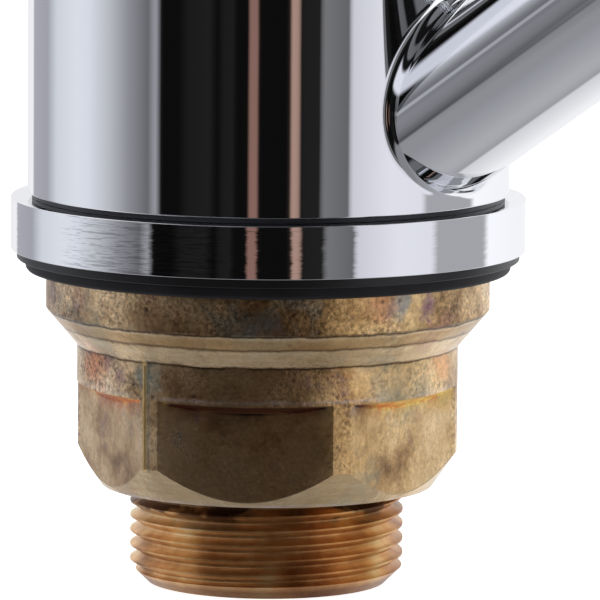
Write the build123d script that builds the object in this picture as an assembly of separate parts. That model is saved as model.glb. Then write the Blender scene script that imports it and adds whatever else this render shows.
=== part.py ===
from build123d import *
from math import cos, pi, radians, sin, sqrt, tan
import os

os.makedirs("parts", exist_ok=True)

# A single-lever kitchen mixer tap, in millimetres and degrees.
# Z is zero at the worktop, +Z is up, the tap's axis is the Z axis and the spout points along +X.

# Threaded shank below the worktop, M28 x 1.5, with the two inlets in its end
shank_diameter = 28.0
shank_length = 33.35
shank_chamfer = 1.8
inlet_bore = 9.0
inlet_depth = 13.0
inlet_edge_wall = 1.3

# Flanged fixing nut, from the shank outwards
nut_lead_wall = 3.0
nut_flat_wall = 3.35
nut_neck_step = 2.15
nut_flange_step = 3.2
nut_flange_thickness = 3.8
nut_cone_height = 3.8
nut_neck_height = 3.8
nut_hex_height = 10.6
nut_lead_height = 3.6
nut_bore_chamfer = 0.8
nut_turned = 1.0

# Ceramic cartridge, 35 mm, from its seat upwards
cartridge_diameter = 35.0
cartridge_wall = 1.9
cartridge_top = 1.7
cartridge_neck_diameter = 24.0
cartridge_neck_height = 10.0
cartridge_neck_wall = 2.4
base_flange_height = 1.8
base_height = 3.5
port_seal_diameter = 7.8
port_seal_section = 1.6
port_gap = 3.3
outlet_port_wall = 0.745
fixed_disc_height = 3.5
moving_disc_height = 3.0
disc_hollow_length = 9.0
disc_hollow_overlap = 1.2
disc_hollow_offset = 5.0
disc_inset = 0.8
carrier_width = 18.0
carrier_height = 7.45
carrier_end_gap = 1.14
ball_depth = 2.48
turret_flange_height = 2.5
turret_flange_gap = 0.8
turret_cheek_gap = 1.25
turret_play = 0.12
turret_stand = 1.0
key_width = 3.0
key_depth = 2.3

# Lever stem on its pin
stem_width = 7.0
stem_thickness = 6.0
stem_end_gap = 1.5
stem_eye_diameter = 9.2
stem_arm_relief = 1.6
stem_arm_thickness = 4.6
stem_ball_diameter = 5.0
pivot_above_shoulder = 3.0
pin_diameter = 3.0
lever_lift_angle = 25.0

# Retaining nut in the casting's cup
retaining_thread_step = 1.4
retaining_thread_length = 5.0
retaining_flat_step = 1.6
retaining_head_height = 4.0
cup_thread_wall = 2.45
cup_floor_thickness = 3.9

# Casting inside the sleeve
sleeve_clearance = 0.5
neck_step = 3.0
chamber_step = 4.5
waist_step = 6.0
seal_section = 2.6
seal_groove_play = 0.2
seal_land = 0.7
supply_bore = 5.6
outlet_bore = 6.0
chamber_margin = 1.6

# Swivelling body: the sleeve
body_height = 86.0
sleeve_wall = 2.6
sleeve_edge = 0.35
slip_ring_thickness = 0.5
slip_ring_collar = 2.2
cartridge_seat_depth = 20.78

# Base ring, its gasket and the washer under it
ring_proud = 1.7
ring_height = 5.3
ring_wall = 3.7
ring_web = 1.6
ring_edge = 0.3
gasket_inset = 0.6
gasket_thickness = 0.95
gasket_recess = 0.4
gasket_lip = 0.9
washer_thickness = 1.65
washer_edge = 0.45
washer_play = 0.15

# Swivelling body: the spout
spout_rise = 33.6
spout_underside_gap = 1.62
spout_width = 19.0
spout_thickness = 15.4
spout_end_width = 21.0
spout_end_thickness = 18.4
spout_wall = 2.3
spout_reach = 215.0
spout_bend_radius = 24.0
spout_root_fillet = 1.5
spout_port_bore = 8.4
spout_port_rise = 1.36
head_wall = 1.6
head_length = 7.0
head_edge = 0.8

# Aerator, M24 x 1
aerator_thread_diameter = 24.0
aerator_thread_length = 6.8
aerator_rim_step = 0.8
aerator_rim_height = 3.4
aerator_rim_edge = 0.8
aerator_wall = 1.9
aerator_lip = 1.0
aerator_lip_height = 0.8
aerator_washer_thickness = 1.2
insert_wall = 1.2
grid_hole = 1.7
grid_edge = 1.05
grid_rings = 3
grid_thickness = 1.6

# Dome cap
dome_wall = 2.5
dome_hole_diameter = 27.0
dome_edge = 0.3

# Lever
lever_gap = 0.4
lever_wall = 3.2
lever_rim_angle = 70.0
lever_rim_edge = 0.7
lever_boss_diameter = 15.0
lever_boss_depth = 8.5
socket_end_gap = 0.7
lever_reach = 118.0
blade_rise = 6.0
blade_tail_inset = 16.2
blade_tail_sink = 0.3
blade_tail_width = 17.0
blade_tail_thickness = 4.5
blade_shoulder_inset = 8.2
blade_root_width = 27.0
blade_root_thickness = 7.6
blade_tip_width = 22.0
blade_tip_thickness = 4.6
blade_corner = 2.2
blade_corner_share = 0.45
blade_root_fillet = 2.5
screw_diameter = 5.0
screw_rise = 3.5
plug_diameter = 7.0
plug_length = 3.2

# Clearances
running_gap = 0.03
pin_gap = 0.05
seal_gap = 0.1
thread_gap = 0.05
fitting_gap = 0.1
sliding_gap = 0.2

# Radii worked out from the sizes above, from the cartridge outwards
cartridge_bore_radius = cartridge_diameter / 2 - cartridge_wall
turret_radius = cartridge_neck_diameter / 2 - cartridge_neck_wall - fitting_gap
cup_radius = cartridge_diameter / 2 + fitting_gap
retaining_thread_radius = cup_radius + retaining_thread_step
core_radius = retaining_thread_radius + thread_gap + cup_thread_wall
sleeve_bore_radius = core_radius + sleeve_clearance
body_radius = sleeve_bore_radius + sleeve_wall
neck_radius = core_radius - neck_step
chamber_radius = core_radius - chamber_step
waist_radius = core_radius - waist_step
ring_radius = body_radius + ring_proud
flange_radius = ring_radius - ring_wall - fitting_gap
gasket_radius = ring_radius - gasket_inset
washer_radius = gasket_radius - gasket_lip
dome_bore_radius = body_radius - dome_wall
lever_inner_radius = body_radius + lever_gap
lever_outer_radius = lever_inner_radius + lever_wall
blade_tail = lever_outer_radius - blade_tail_inset
blade_shoulder = lever_outer_radius - blade_shoulder_inset
head_radius = aerator_thread_diameter / 2 + head_wall
insert_radius = aerator_thread_diameter / 2 - aerator_wall - fitting_gap

# Places of the water ways, seen from above
shank_radius = shank_diameter / 2
inlet_offset = shank_radius - shank_chamfer - inlet_edge_wall - inlet_bore / 2
seal_pocket_radius = (port_seal_diameter + port_seal_section) / 2 + pin_gap
port_offset = seal_pocket_radius + port_gap / 2
outlet_offset = sqrt((2 * seal_pocket_radius + outlet_port_wall) ** 2 - port_offset ** 2)

# Heights worked out from the sizes above, from the worktop upwards
rise = radians(spout_rise)
ring_bottom = gasket_thickness
ring_top = ring_bottom + ring_height
core_flange_top = ring_top - ring_web
sleeve_bottom = ring_top + slip_ring_thickness + running_gap
sleeve_top = sleeve_bottom + body_height
dome_bottom = sleeve_top + running_gap + slip_ring_thickness
spout_root_height = sleeve_bottom + spout_underside_gap + spout_thickness / 2 / cos(rise)
outlet_height = spout_root_height + spout_port_rise
half_groove = (seal_section + seal_groove_play) / 2
chamber_half_height = spout_port_bore / 2 + chamber_margin
lower_seal_height = outlet_height - chamber_half_height - seal_land - half_groove
upper_seal_height = outlet_height + chamber_half_height + seal_land + half_groove
cartridge_seat_height = sleeve_top - cartridge_seat_depth
base_top = cartridge_seat_height + base_height
fixed_disc_top = base_top + fixed_disc_height
moving_disc_bottom = fixed_disc_top + running_gap
moving_disc_top = moving_disc_bottom + moving_disc_height
carrier_top = moving_disc_top + carrier_height
turret_bottom = carrier_top + sliding_gap
turret_flange_top = turret_bottom + turret_flange_height
cartridge_ceiling = turret_flange_top + turret_play
shoulder_height = cartridge_ceiling + cartridge_top
neck_top = shoulder_height + cartridge_neck_height
turret_top = neck_top + turret_stand
pivot_height = shoulder_height + pivot_above_shoulder
cup_top = shoulder_height + retaining_thread_length
ball_height = carrier_top - ball_depth

# Heights of the nut, from the washer downwards
nut_top = gasket_recess - washer_thickness - running_gap
nut_cone_top = nut_top - nut_flange_thickness
nut_neck_top = nut_cone_top - nut_cone_height
nut_hex_top = nut_neck_top - nut_neck_height
nut_bottom = nut_hex_top - nut_hex_height

# The lever's mechanism, with the lever down
closed_lean = lever_lift_angle / 2
stem_length = lever_inner_radius - stem_end_gap
stem_arm_length = pivot_height - ball_height
closed_shift = -stem_arm_length * sin(radians(closed_lean))
carrier_radius = cartridge_bore_radius + closed_shift - carrier_end_gap
screw_height = lever_inner_radius - lever_boss_depth + screw_rise

# Spout path: a straight rise, then a bend down to the outlet
spout_axis_height = spout_root_height - body_radius * tan(rise)
bend_turn = 90 + spout_rise
bend_start_x = spout_reach - spout_bend_radius * (1 + sin(rise))
bend_start_z = spout_axis_height + bend_start_x * tan(rise)
bend_centre_x = bend_start_x + spout_bend_radius * sin(rise)
bend_centre_z = bend_start_z - spout_bend_radius * cos(rise)
outlet_z = bend_centre_z - head_length
aerator_seat = outlet_z + aerator_thread_length + aerator_washer_thickness
aerator_bottom = outlet_z - aerator_rim_height
aerator_thread_top = outlet_z + aerator_thread_length

PORTS = (
    (0.0, port_offset, supply_bore),
    (0.0, -port_offset, supply_bore),
    (-outlet_offset, 0.0, outlet_bore),
)
BOTTOM = (Align.CENTER, Align.CENTER, Align.MIN)


def rod(radius, bottom, top, x=0.0, y=0.0):
    """An upright cylinder between two heights."""
    return Pos(x, y, bottom) * Cylinder(radius, top - bottom, align=BOTTOM)


def tube(outer, inner, bottom, top):
    """An upright ring between two heights."""
    return rod(outer, bottom, top) - rod(inner, bottom, top)


def turned(*points):
    """A solid turned about the Z axis from an outline of (radius, height) points."""
    return revolve(Plane.XZ * make_face(Polyline(*points, close=True)), Axis.Z)


def upright_block(x0, x1, y0, y1, z0, z1):
    """A block between two corners."""
    centre = Pos((x0 + x1) / 2, (y0 + y1) / 2, (z0 + z1) / 2)
    return centre * Box(x1 - x0, y1 - y0, z1 - z0)


def section_plane(x, z, heading):
    """A plane square to the spout's path, which climbs at the angle heading; its x runs sideways."""
    along = (cos(radians(heading)), 0, sin(radians(heading)))
    return Plane(origin=(x, 0, z), x_dir=(0, 1, 0), z_dir=along)


def spout_form(start_x, inset):
    """The spout's outside, or with an inset its hollow, from start_x to the end of its bend."""
    bend_steps = 6
    start = section_plane(start_x, spout_axis_height + start_x * tan(rise), spout_rise)
    straight = [start * Ellipse(spout_width / 2 - inset, spout_thickness / 2 - inset)]
    bend = []
    for i in range(bend_steps + 1):
        share = i / bend_steps
        heading = spout_rise - bend_turn * share
        x = bend_centre_x - spout_bend_radius * sin(radians(heading))
        z = bend_centre_z + spout_bend_radius * cos(radians(heading))
        blend = share * share * (3 - 2 * share)
        width = spout_end_width + (2 * head_radius - spout_end_width) * blend
        thickness = spout_end_thickness + (2 * head_radius - spout_end_thickness) * blend
        plane = section_plane(x, z, heading)
        bend.append(plane * Ellipse(width / 2 - inset, thickness / 2 - inset))
    straight.append(bend[0])
    return loft(straight) + loft(bend)


def make_core_casting():
    """Cast brass core: shank, base flange, seal lands, waist and the cup that holds the cartridge."""
    floor_radius = sleeve_bore_radius - seal_gap - seal_section
    land_bottom = lower_seal_height - half_groove - seal_land
    chamber_bottom = outlet_height - chamber_half_height
    chamber_top = outlet_height + chamber_half_height
    land_top = upper_seal_height + half_groove + seal_land
    cup_floor = cartridge_seat_height - cup_floor_thickness
    body = turned(
        (0, -shank_length),
        (shank_radius - shank_chamfer, -shank_length),
        (shank_radius, shank_chamfer - shank_length),
        (shank_radius, ring_bottom),
        (flange_radius, ring_bottom),
        (flange_radius, core_flange_top),
        (neck_radius, core_flange_top),
        (neck_radius, land_bottom),
        (core_radius, land_bottom),
        (core_radius, lower_seal_height - half_groove),
        (floor_radius, lower_seal_height - half_groove),
        (floor_radius, lower_seal_height + half_groove),
        (core_radius, lower_seal_height + half_groove),
        (core_radius, chamber_bottom),
        (chamber_radius, chamber_bottom),
        (chamber_radius, chamber_top),
        (core_radius, chamber_top),
        (core_radius, upper_seal_height - half_groove),
        (floor_radius, upper_seal_height - half_groove),
        (floor_radius, upper_seal_height + half_groove),
        (core_radius, upper_seal_height + half_groove),
        (core_radius, land_top),
        (waist_radius, land_top + core_radius - waist_radius),
        (waist_radius, cup_floor - core_radius + waist_radius),
        (core_radius, cup_floor),
        (core_radius, cup_top),
        (0, cup_top),
    )
    body -= rod(cup_radius, cartridge_seat_height, cup_top)
    body -= rod(retaining_thread_radius + thread_gap, shoulder_height, cup_top)
    for side in (-1, 1):
        body -= rod(supply_bore / 2, -shank_length, cartridge_seat_height, y=side * port_offset)
        body -= rod(inlet_bore / 2, -shank_length, inlet_depth - shank_length, y=side * inlet_offset)
    body -= rod(outlet_bore / 2, outlet_height, cartridge_seat_height, x=-outlet_offset)
    side_hole = Cylinder(outlet_bore / 2, core_radius, align=BOTTOM)
    body -= Pos(-outlet_offset, 0, outlet_height) * Rot(0, -90, 0) * side_hole
    return body


def make_base_ring():
    """Chromed ring that covers the casting's flange and carries the turning body."""
    outside = rod(ring_radius, ring_bottom, ring_top)
    outside = chamfer(outside.edges().filter_by(GeomType.CIRCLE), ring_edge)
    pocket_top = core_flange_top + fitting_gap
    outside -= rod(flange_radius + fitting_gap, ring_bottom, pocket_top)
    return outside - rod(core_radius + fitting_gap, pocket_top, ring_top)


def make_base_gasket():
    """Rubber gasket under the ring: its outer lip meets the worktop and its recess takes the washer."""
    gasket = tube(gasket_radius, shank_radius + fitting_gap, 0, gasket_thickness)
    return gasket - rod(washer_radius + washer_play, 0, gasket_recess)


def make_clamp_washer():
    """Loose rubber washer that the nut presses up, with a rounded lower edge."""
    bottom = gasket_recess - washer_thickness
    washer = rod(washer_radius, bottom, gasket_recess)
    lower_edge = washer.edges().filter_by(GeomType.CIRCLE).sort_by(Axis.Z)[0]
    washer = fillet(lower_edge, washer_edge)
    return washer - rod(shank_radius + sliding_gap, bottom, gasket_recess)


def make_fixing_nut():
    """Cast brass flanged nut: flange, cone and round neck turned in one, and a hexagon for the spanner."""
    flat_distance = shank_radius + nut_flat_wall
    round_radius = flat_distance + nut_neck_step
    rim_radius = round_radius + nut_flange_step
    bore_radius = shank_radius + thread_gap
    nut = turned(
        (0, nut_bottom),
        (shank_radius + nut_lead_wall, nut_bottom),
        (round_radius, nut_bottom + nut_lead_height),
        (round_radius, nut_neck_top),
        (rim_radius, nut_cone_top),
        (rim_radius, nut_top),
        (0, nut_top),
    )
    hexagon = RegularPolygon(flat_distance, 6, major_radius=False, rotation=30 + nut_turned)
    outside_hexagon = rod(2 * round_radius, nut_bottom, nut_hex_top)
    outside_hexagon -= Pos(0, 0, nut_bottom) * extrude(hexagon, nut_hex_height)
    nut -= outside_hexagon
    nut -= rod(bore_radius, nut_bottom, nut_top)
    wide = bore_radius + nut_bore_chamfer
    nut -= turned((0, nut_bottom), (wide, nut_bottom), (0, nut_bottom + wide))
    nut -= turned((0, nut_top), (wide, nut_top), (0, nut_top - wide))
    return nut


def make_lower_slip_ring():
    """Split plastic ring, snapped round the casting's neck, that the body turns on and is centred by."""
    inner = neck_radius + fitting_gap
    flange_top = ring_top + slip_ring_thickness
    ring = tube(body_radius - sleeve_edge - fitting_gap, inner, ring_top, flange_top)
    ring += tube(core_radius, inner, core_flange_top, ring_top)
    land_bottom = lower_seal_height - half_groove - seal_land
    collar_top = land_bottom - fitting_gap
    ring += tube(sleeve_bore_radius - pin_gap, inner, flange_top, collar_top)
    half_split = slip_ring_thickness / 2
    return ring - upright_block(-ring_radius, 0, -half_split, half_split, core_flange_top, collar_top)


def make_upper_slip_ring():
    """Plastic ring between the body's top edge and the dome cap."""
    flange_bottom = sleeve_top + running_gap
    inner = core_radius + pin_gap
    ring = tube(body_radius - sleeve_edge - fitting_gap, inner, flange_bottom, dome_bottom)
    collar_outer = sleeve_bore_radius - pin_gap
    return ring + tube(collar_outer, inner, flange_bottom - slip_ring_collar, flange_bottom)


def make_spout_seal(height):
    """Rubber ring in the casting's groove, against the sleeve's bore."""
    middle = sleeve_bore_radius - seal_gap - seal_section / 2
    return Pos(0, 0, height) * Torus(middle, seal_section / 2)


def make_swivel_body():
    """One casting: the sleeve and the hollow spout that leaves it low, rises and bends down."""
    trim = spout_thickness
    long_sleeve = rod(body_radius, sleeve_bottom - trim, sleeve_top)
    outside = long_sleeve + spout_form(sleeve_bore_radius - spout_thickness / 4, 0)
    root = outside.edges().filter_by(GeomType.BSPLINE)
    root = root.filter_by_position(Axis.X, body_radius / 2, body_radius + spout_root_fillet)
    outside = fillet(root, spout_root_fillet)
    outside -= rod(2 * body_radius, sleeve_bottom - 2 * trim, sleeve_bottom)
    ends = outside.edges().filter_by_position(Axis.Z, sleeve_bottom, sleeve_bottom)
    ends += outside.edges().filter_by_position(Axis.Z, sleeve_top, sleeve_top)
    outside = fillet(ends, sleeve_edge)
    head = rod(head_radius, outlet_z, bend_centre_z, x=spout_reach)
    lower_edge = head.edges().filter_by(GeomType.CIRCLE).sort_by(Axis.Z)[0]
    outside += fillet(lower_edge, head_edge)
    port_radius = spout_port_bore / 2
    hollow_start = body_radius + port_radius
    outside -= spout_form(hollow_start, spout_wall)
    port = Cylinder(port_radius, hollow_start + port_radius, align=BOTTOM)
    outside -= Pos(0, 0, outlet_height) * Rot(0, 90, 0) * port
    outside -= rod(sleeve_bore_radius, sleeve_bottom, sleeve_top)
    thread_radius = aerator_thread_diameter / 2 + thread_gap
    return outside - rod(thread_radius, outlet_z, aerator_seat, x=spout_reach)


def make_aerator_housing():
    """Chromed sleeve screwed into the spout's head, with a rim below it."""
    thread_radius = aerator_thread_diameter / 2
    rim = rod(thread_radius + aerator_rim_step, aerator_bottom, outlet_z)
    lower_edge = rim.edges().filter_by(GeomType.CIRCLE).sort_by(Axis.Z)[0]
    housing = fillet(lower_edge, aerator_rim_edge)
    housing += rod(thread_radius, outlet_z, aerator_thread_top)
    bore = insert_radius + fitting_gap
    housing -= rod(bore, aerator_bottom, aerator_thread_top)
    lip = tube(bore, insert_radius - aerator_lip, aerator_bottom, aerator_bottom + aerator_lip_height)
    return Pos(spout_reach, 0, 0) * (housing + lip)


def make_aerator_insert():
    """Plastic flow straightener with a grid of round holes at its foot."""
    foot = aerator_bottom + aerator_lip_height
    inner = insert_radius - insert_wall
    insert = rod(insert_radius, foot, aerator_thread_top)
    insert -= rod(inner, foot + grid_thickness, aerator_thread_top)
    hole = rod(grid_hole / 2, foot, foot + grid_thickness)
    cutters = []
    grid_pitch = (inner - grid_edge - grid_hole / 2) / grid_rings
    row_height = grid_pitch * sin(pi / 3)
    for row in range(-grid_rings, grid_rings + 1):
        count = 2 * grid_rings + 1 - abs(row)
        for i in range(count):
            x = (i - (count - 1) / 2) * grid_pitch
            cutters.append(Pos(x, row * row_height, 0) * hole)
    return Pos(spout_reach, 0, 0) * (insert - cutters)


def make_aerator_washer():
    """Flat rubber washer between the aerator and the spout."""
    outer = aerator_thread_diameter / 2 - sliding_gap
    washer = tube(outer, insert_radius - sliding_gap, aerator_thread_top, aerator_seat)
    return Pos(spout_reach, 0, 0) * washer


def make_cartridge_base():
    """Plastic foot of the cartridge: three ports, a seal pocket round each, two keys for the fixed disc."""
    base = rod(cartridge_diameter / 2, cartridge_seat_height, cartridge_seat_height + base_flange_height)
    spigot_radius = cartridge_bore_radius - fitting_gap
    base += rod(spigot_radius, cartridge_seat_height, base_top)
    key_top = base_top + fixed_disc_height / 2
    for side in (-1, 1):
        outer = side * spigot_radius
        inner = side * (spigot_radius - key_depth)
        near, far = sorted((outer, inner))
        key = upright_block(-key_width / 2, key_width / 2, near, far, base_top, key_top)
        base += key & rod(spigot_radius, base_top, key_top)
    for x, y, bore in PORTS:
        base -= rod(bore / 2, cartridge_seat_height, base_top, x, y)
        pocket_top = cartridge_seat_height + port_seal_section
        base -= rod(seal_pocket_radius, cartridge_seat_height, pocket_top, x, y)
    return base


def make_cartridge_base_seals():
    """Three rubber rings, one round each port."""
    height = cartridge_seat_height + port_seal_section / 2
    ring = Torus(port_seal_diameter / 2, port_seal_section / 2)
    return Compound(children=[Pos(x, y, height) * ring for x, y, bore in PORTS])


def make_fixed_ceramic_disc():
    """Ceramic disc held by the keys, with the three ports."""
    disc = rod(cartridge_bore_radius - sliding_gap, base_top, fixed_disc_top)
    for side in (-1, 1):
        outer = side * cartridge_bore_radius
        inner = side * (cartridge_bore_radius - key_depth - sliding_gap)
        near, far = sorted((outer, inner))
        half = key_width / 2 + fitting_gap
        disc -= upright_block(-half, half, near, far, base_top, fixed_disc_top)
    for x, y, bore in PORTS:
        disc -= rod(bore / 2, base_top, fixed_disc_top, x, y)
    return disc


def make_moving_ceramic_disc():
    """Ceramic disc that slides and turns on the fixed one; a hollow in its face joins the ports."""
    disc = rod(carrier_radius - disc_inset, moving_disc_bottom, moving_disc_top, x=closed_shift)
    half_width = port_offset + disc_hollow_overlap
    hollow = Ellipse(disc_hollow_length / 2, half_width)
    hollow = Pos(closed_shift - disc_hollow_offset, 0, moving_disc_bottom) * hollow
    return disc - extrude(hollow, moving_disc_height / 2)


def make_disc_carrier():
    """Plastic slide on the moving disc, with a socket for the stem's ball."""
    carrier = rod(carrier_radius, moving_disc_top, carrier_top)
    half = carrier_width / 2
    reach = carrier_radius
    carrier &= upright_block(-reach, reach, -half, half, moving_disc_top, carrier_top)
    ball_radius = stem_ball_diameter / 2
    socket_x = ball_radius + pin_gap
    socket_y = max(ball_radius + pin_gap, stem_arm_thickness / 2 + sliding_gap)
    floor = ball_height - ball_radius - sliding_gap
    carrier -= upright_block(-socket_x, socket_x, -socket_y, socket_y, floor, carrier_top)
    return Pos(closed_shift, 0, 0) * carrier


def make_cartridge_housing():
    """Plastic cartridge shell with a shoulder for the retaining nut and a neck for the turret."""
    bottom = cartridge_seat_height + base_flange_height
    housing = rod(cartridge_diameter / 2, bottom, shoulder_height)
    housing += rod(cartridge_neck_diameter / 2, shoulder_height, neck_top)
    housing -= rod(cartridge_bore_radius, bottom, cartridge_ceiling)
    return housing - rod(turret_radius + fitting_gap, bottom, neck_top)


def make_cartridge_turret():
    """Plastic turret that turns with the lever: two cheeks guide the slide and a slot takes the stem."""
    turret = rod(cartridge_bore_radius - turret_flange_gap, turret_bottom, turret_flange_top)
    turret += rod(turret_radius, turret_bottom, turret_top)
    cheek_inner = carrier_width / 2 + sliding_gap
    cheek_bottom = moving_disc_top + turret_cheek_gap
    reach = cartridge_bore_radius - sliding_gap
    ring = rod(reach, cheek_bottom, turret_bottom)
    turret += ring - upright_block(-reach, reach, -cheek_inner, cheek_inner, cheek_bottom, turret_bottom)
    lean = radians(closed_lean)
    leaning_half = (turret_top - pivot_height) * tan(lean) + stem_width / 2 / cos(lean)
    slot_x = max(leaning_half, stem_eye_diameter / 2) + 2 * sliding_gap
    slot_y = stem_thickness / 2 + fitting_gap
    turret -= upright_block(-slot_x, slot_x, -slot_y, slot_y, turret_bottom, turret_top)
    pin_radius = pin_diameter / 2 + running_gap
    hole = Pos(0, -turret_radius, pivot_height) * Rot(-90, 0, 0)
    return turret - hole * Cylinder(pin_radius, 2 * turret_radius, align=BOTTOM)


def make_stem_pin():
    """Steel pin across the turret that the stem rocks on."""
    length = 2 * (turret_radius - sliding_gap)
    return Pos(0, 0, pivot_height) * Rot(90, 0, 0) * Cylinder(pin_diameter / 2, length)


def leaning(shape):
    """Places a shape made about an upright stem's pivot at the closed lever's lean."""
    return Pos(0, 0, pivot_height) * Rot(0, closed_lean, 0) * shape


def make_cartridge_stem():
    """Brass stem: a square top for the lever, an eye on the pin, and an arm with a ball in the slide."""
    half = stem_thickness / 2
    stem = upright_block(-stem_width / 2, stem_width / 2, -half, half, 0, stem_length)
    stem += Rot(90, 0, 0) * Cylinder(stem_eye_diameter / 2, stem_thickness)
    arm_x = (stem_ball_diameter - stem_arm_relief) / 2
    arm_y = stem_arm_thickness / 2
    stem += upright_block(-arm_x, arm_x, -arm_y, arm_y, -stem_arm_length, 0)
    stem += Pos(0, 0, -stem_arm_length) * Sphere(stem_ball_diameter / 2)
    stem -= Rot(90, 0, 0) * Cylinder(pin_diameter / 2 + pin_gap, stem_thickness)
    return leaning(stem)


def make_retaining_nut():
    """Brass nut that clamps the cartridge in its cup."""
    bore = cartridge_neck_diameter / 2 + sliding_gap
    nut = rod(retaining_thread_radius, shoulder_height, cup_top)
    flat_distance = retaining_thread_radius - retaining_flat_step
    hexagon = RegularPolygon(flat_distance, 6, major_radius=False)
    nut += Pos(0, 0, cup_top) * extrude(hexagon, retaining_head_height)
    return nut - rod(bore, shoulder_height, cup_top + retaining_head_height)


def make_dome_cap():
    """Chromed cap over the cartridge: a short skirt, then half a ball about the lever's pivot."""
    cap = rod(body_radius, dome_bottom, pivot_height)
    cap += Pos(0, 0, pivot_height) * Sphere(body_radius)
    cap -= rod(body_radius + fitting_gap, pivot_height - 2 * body_radius, dome_bottom)
    skirt_bore = core_radius + fitting_gap
    cap -= rod(skirt_bore, dome_bottom, cup_top)
    inside = Pos(0, 0, pivot_height) * Sphere(dome_bore_radius)
    cap -= inside - rod(body_radius, pivot_height - body_radius, pivot_height)
    cap -= rod(dome_hole_diameter / 2, pivot_height, pivot_height + 2 * body_radius)
    lower_edge = cap.edges().filter_by(GeomType.CIRCLE).group_by(Axis.Z)[0].sort_by(SortBy.LENGTH)[-1]
    return chamfer(lower_edge, dome_edge)


def blade_section(x, top, width, thickness):
    """One section of the lever's blade, hung from its top line."""
    plane = Plane(origin=(x, 0, top - thickness / 2), x_dir=(0, 1, 0), z_dir=(1, 0, 0))
    corner = min(blade_corner, thickness * blade_corner_share)
    return plane * RectangleRounded(width, thickness, corner)


def blade_form():
    """The lever's blade: it grows out of the hood's top and rises to its rounded tip."""
    climb = tan(radians(blade_rise))
    tail_corner = sqrt(lever_outer_radius ** 2 - blade_tail ** 2 - (blade_tail_width / 2) ** 2)
    tail_top = tail_corner - blade_tail_sink
    sections = [blade_section(-blade_tail, tail_top, blade_tail_width, blade_tail_thickness)]
    steps = 3
    for i in range(steps + 1):
        share = i / steps
        x = blade_shoulder + (lever_reach - blade_shoulder) * share
        width = blade_root_width + (blade_tip_width - blade_root_width) * share
        thickness = blade_root_thickness + (blade_tip_thickness - blade_root_thickness) * share
        sections.append(blade_section(x, lever_outer_radius + x * climb, width, thickness))
    blade = loft(sections)
    tip_radius = blade_tip_width / 2
    tip_x = lever_reach - tip_radius
    above_blade = lever_outer_radius + lever_reach
    plan = rod(tip_radius, 0, above_blade, x=tip_x)
    half = blade_root_width + blade_tip_width
    plan += upright_block(-lever_reach, tip_x, -half, half, 0, above_blade)
    return blade & plan


def make_lever_handle():
    """Chromed lever: a shell that hoods the dome, a socket for the stem, and a flat tapering blade."""
    rim = lever_inner_radius * cos(radians(lever_rim_angle))
    above_rim = rod(2 * lever_outer_radius, rim, 2 * lever_outer_radius)
    hood = Sphere(lever_outer_radius) & above_rim
    hood = fillet(hood.edges().filter_by(GeomType.CIRCLE), lever_rim_edge)
    lever = hood + blade_form()
    join = lever.edges().filter_by(GeomType.BSPLINE)
    join = join.filter_by_position(Axis.X, -blade_tail, blade_shoulder + blade_root_fillet)
    lever = fillet(join, blade_root_fillet)
    lever -= Sphere(lever_inner_radius)
    lean = Rot(0, closed_lean, 0)
    boss_bottom = screw_height - screw_rise
    boss = rod(lever_boss_diameter / 2, boss_bottom, lever_inner_radius + lever_wall / 2)
    lever += lean * boss
    half_x = stem_width / 2 + pin_gap
    half_y = stem_thickness / 2 + pin_gap
    socket = upright_block(-half_x, half_x, -half_y, half_y, boss_bottom, stem_length + socket_end_gap)
    lever -= lean * socket
    screw_way = Cylinder(screw_diameter / 2, lever_boss_diameter, align=BOTTOM)
    lever -= lean * Pos(0, 0, screw_height) * Rot(0, 90, 0) * screw_way
    plug_way = Cylinder(plug_diameter / 2 + pin_gap, lever_outer_radius, align=BOTTOM)
    lever -= lean * Pos(lever_boss_diameter / 2 + fitting_gap, 0, screw_height) * Rot(0, 90, 0) * plug_way
    return Pos(0, 0, pivot_height) * lever


def make_lever_set_screw():
    """Grub screw through the boss against the stem."""
    start = stem_width / 2 + running_gap
    end = lever_boss_diameter / 2 - fitting_gap
    screw = Cylinder(screw_diameter / 2 - pin_gap, end - start, align=BOTTOM)
    return leaning(Pos(start, 0, screw_height) * Rot(0, 90, 0) * screw)


def make_indicator_plug():
    """Plastic plug that closes the screw's way, flush with the hood."""
    outer = sqrt(lever_outer_radius ** 2 - screw_height ** 2)
    plug = Cylinder(plug_diameter / 2, plug_length + sliding_gap, align=BOTTOM)
    plug = Pos(outer - plug_length, 0, screw_height) * Rot(0, 90, 0) * plug
    plug &= Sphere(lever_outer_radius + fitting_gap)
    return leaning(plug - Sphere(lever_inner_radius))


PIECES = {
    "core_casting": make_core_casting(),
    "base_ring": make_base_ring(),
    "base_gasket": make_base_gasket(),
    "clamp_washer": make_clamp_washer(),
    "fixing_nut": make_fixing_nut(),
    "lower_slip_ring": make_lower_slip_ring(),
    "upper_slip_ring": make_upper_slip_ring(),
    "lower_spout_seal": make_spout_seal(lower_seal_height),
    "upper_spout_seal": make_spout_seal(upper_seal_height),
    "swivel_body": make_swivel_body(),
    "aerator_housing": make_aerator_housing(),
    "aerator_insert": make_aerator_insert(),
    "aerator_washer": make_aerator_washer(),
    "cartridge_base": make_cartridge_base(),
    "cartridge_base_seals": make_cartridge_base_seals(),
    "fixed_ceramic_disc": make_fixed_ceramic_disc(),
    "moving_ceramic_disc": make_moving_ceramic_disc(),
    "disc_carrier": make_disc_carrier(),
    "cartridge_housing": make_cartridge_housing(),
    "cartridge_turret": make_cartridge_turret(),
    "stem_pin": make_stem_pin(),
    "cartridge_stem": make_cartridge_stem(),
    "retaining_nut": make_retaining_nut(),
    "dome_cap": make_dome_cap(),
    "lever_handle": make_lever_handle(),
    "lever_set_screw": make_lever_set_screw(),
    "indicator_plug": make_indicator_plug(),
}

for name, shape in PIECES.items():
    export_step(shape, f"parts/{name}.step")
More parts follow.
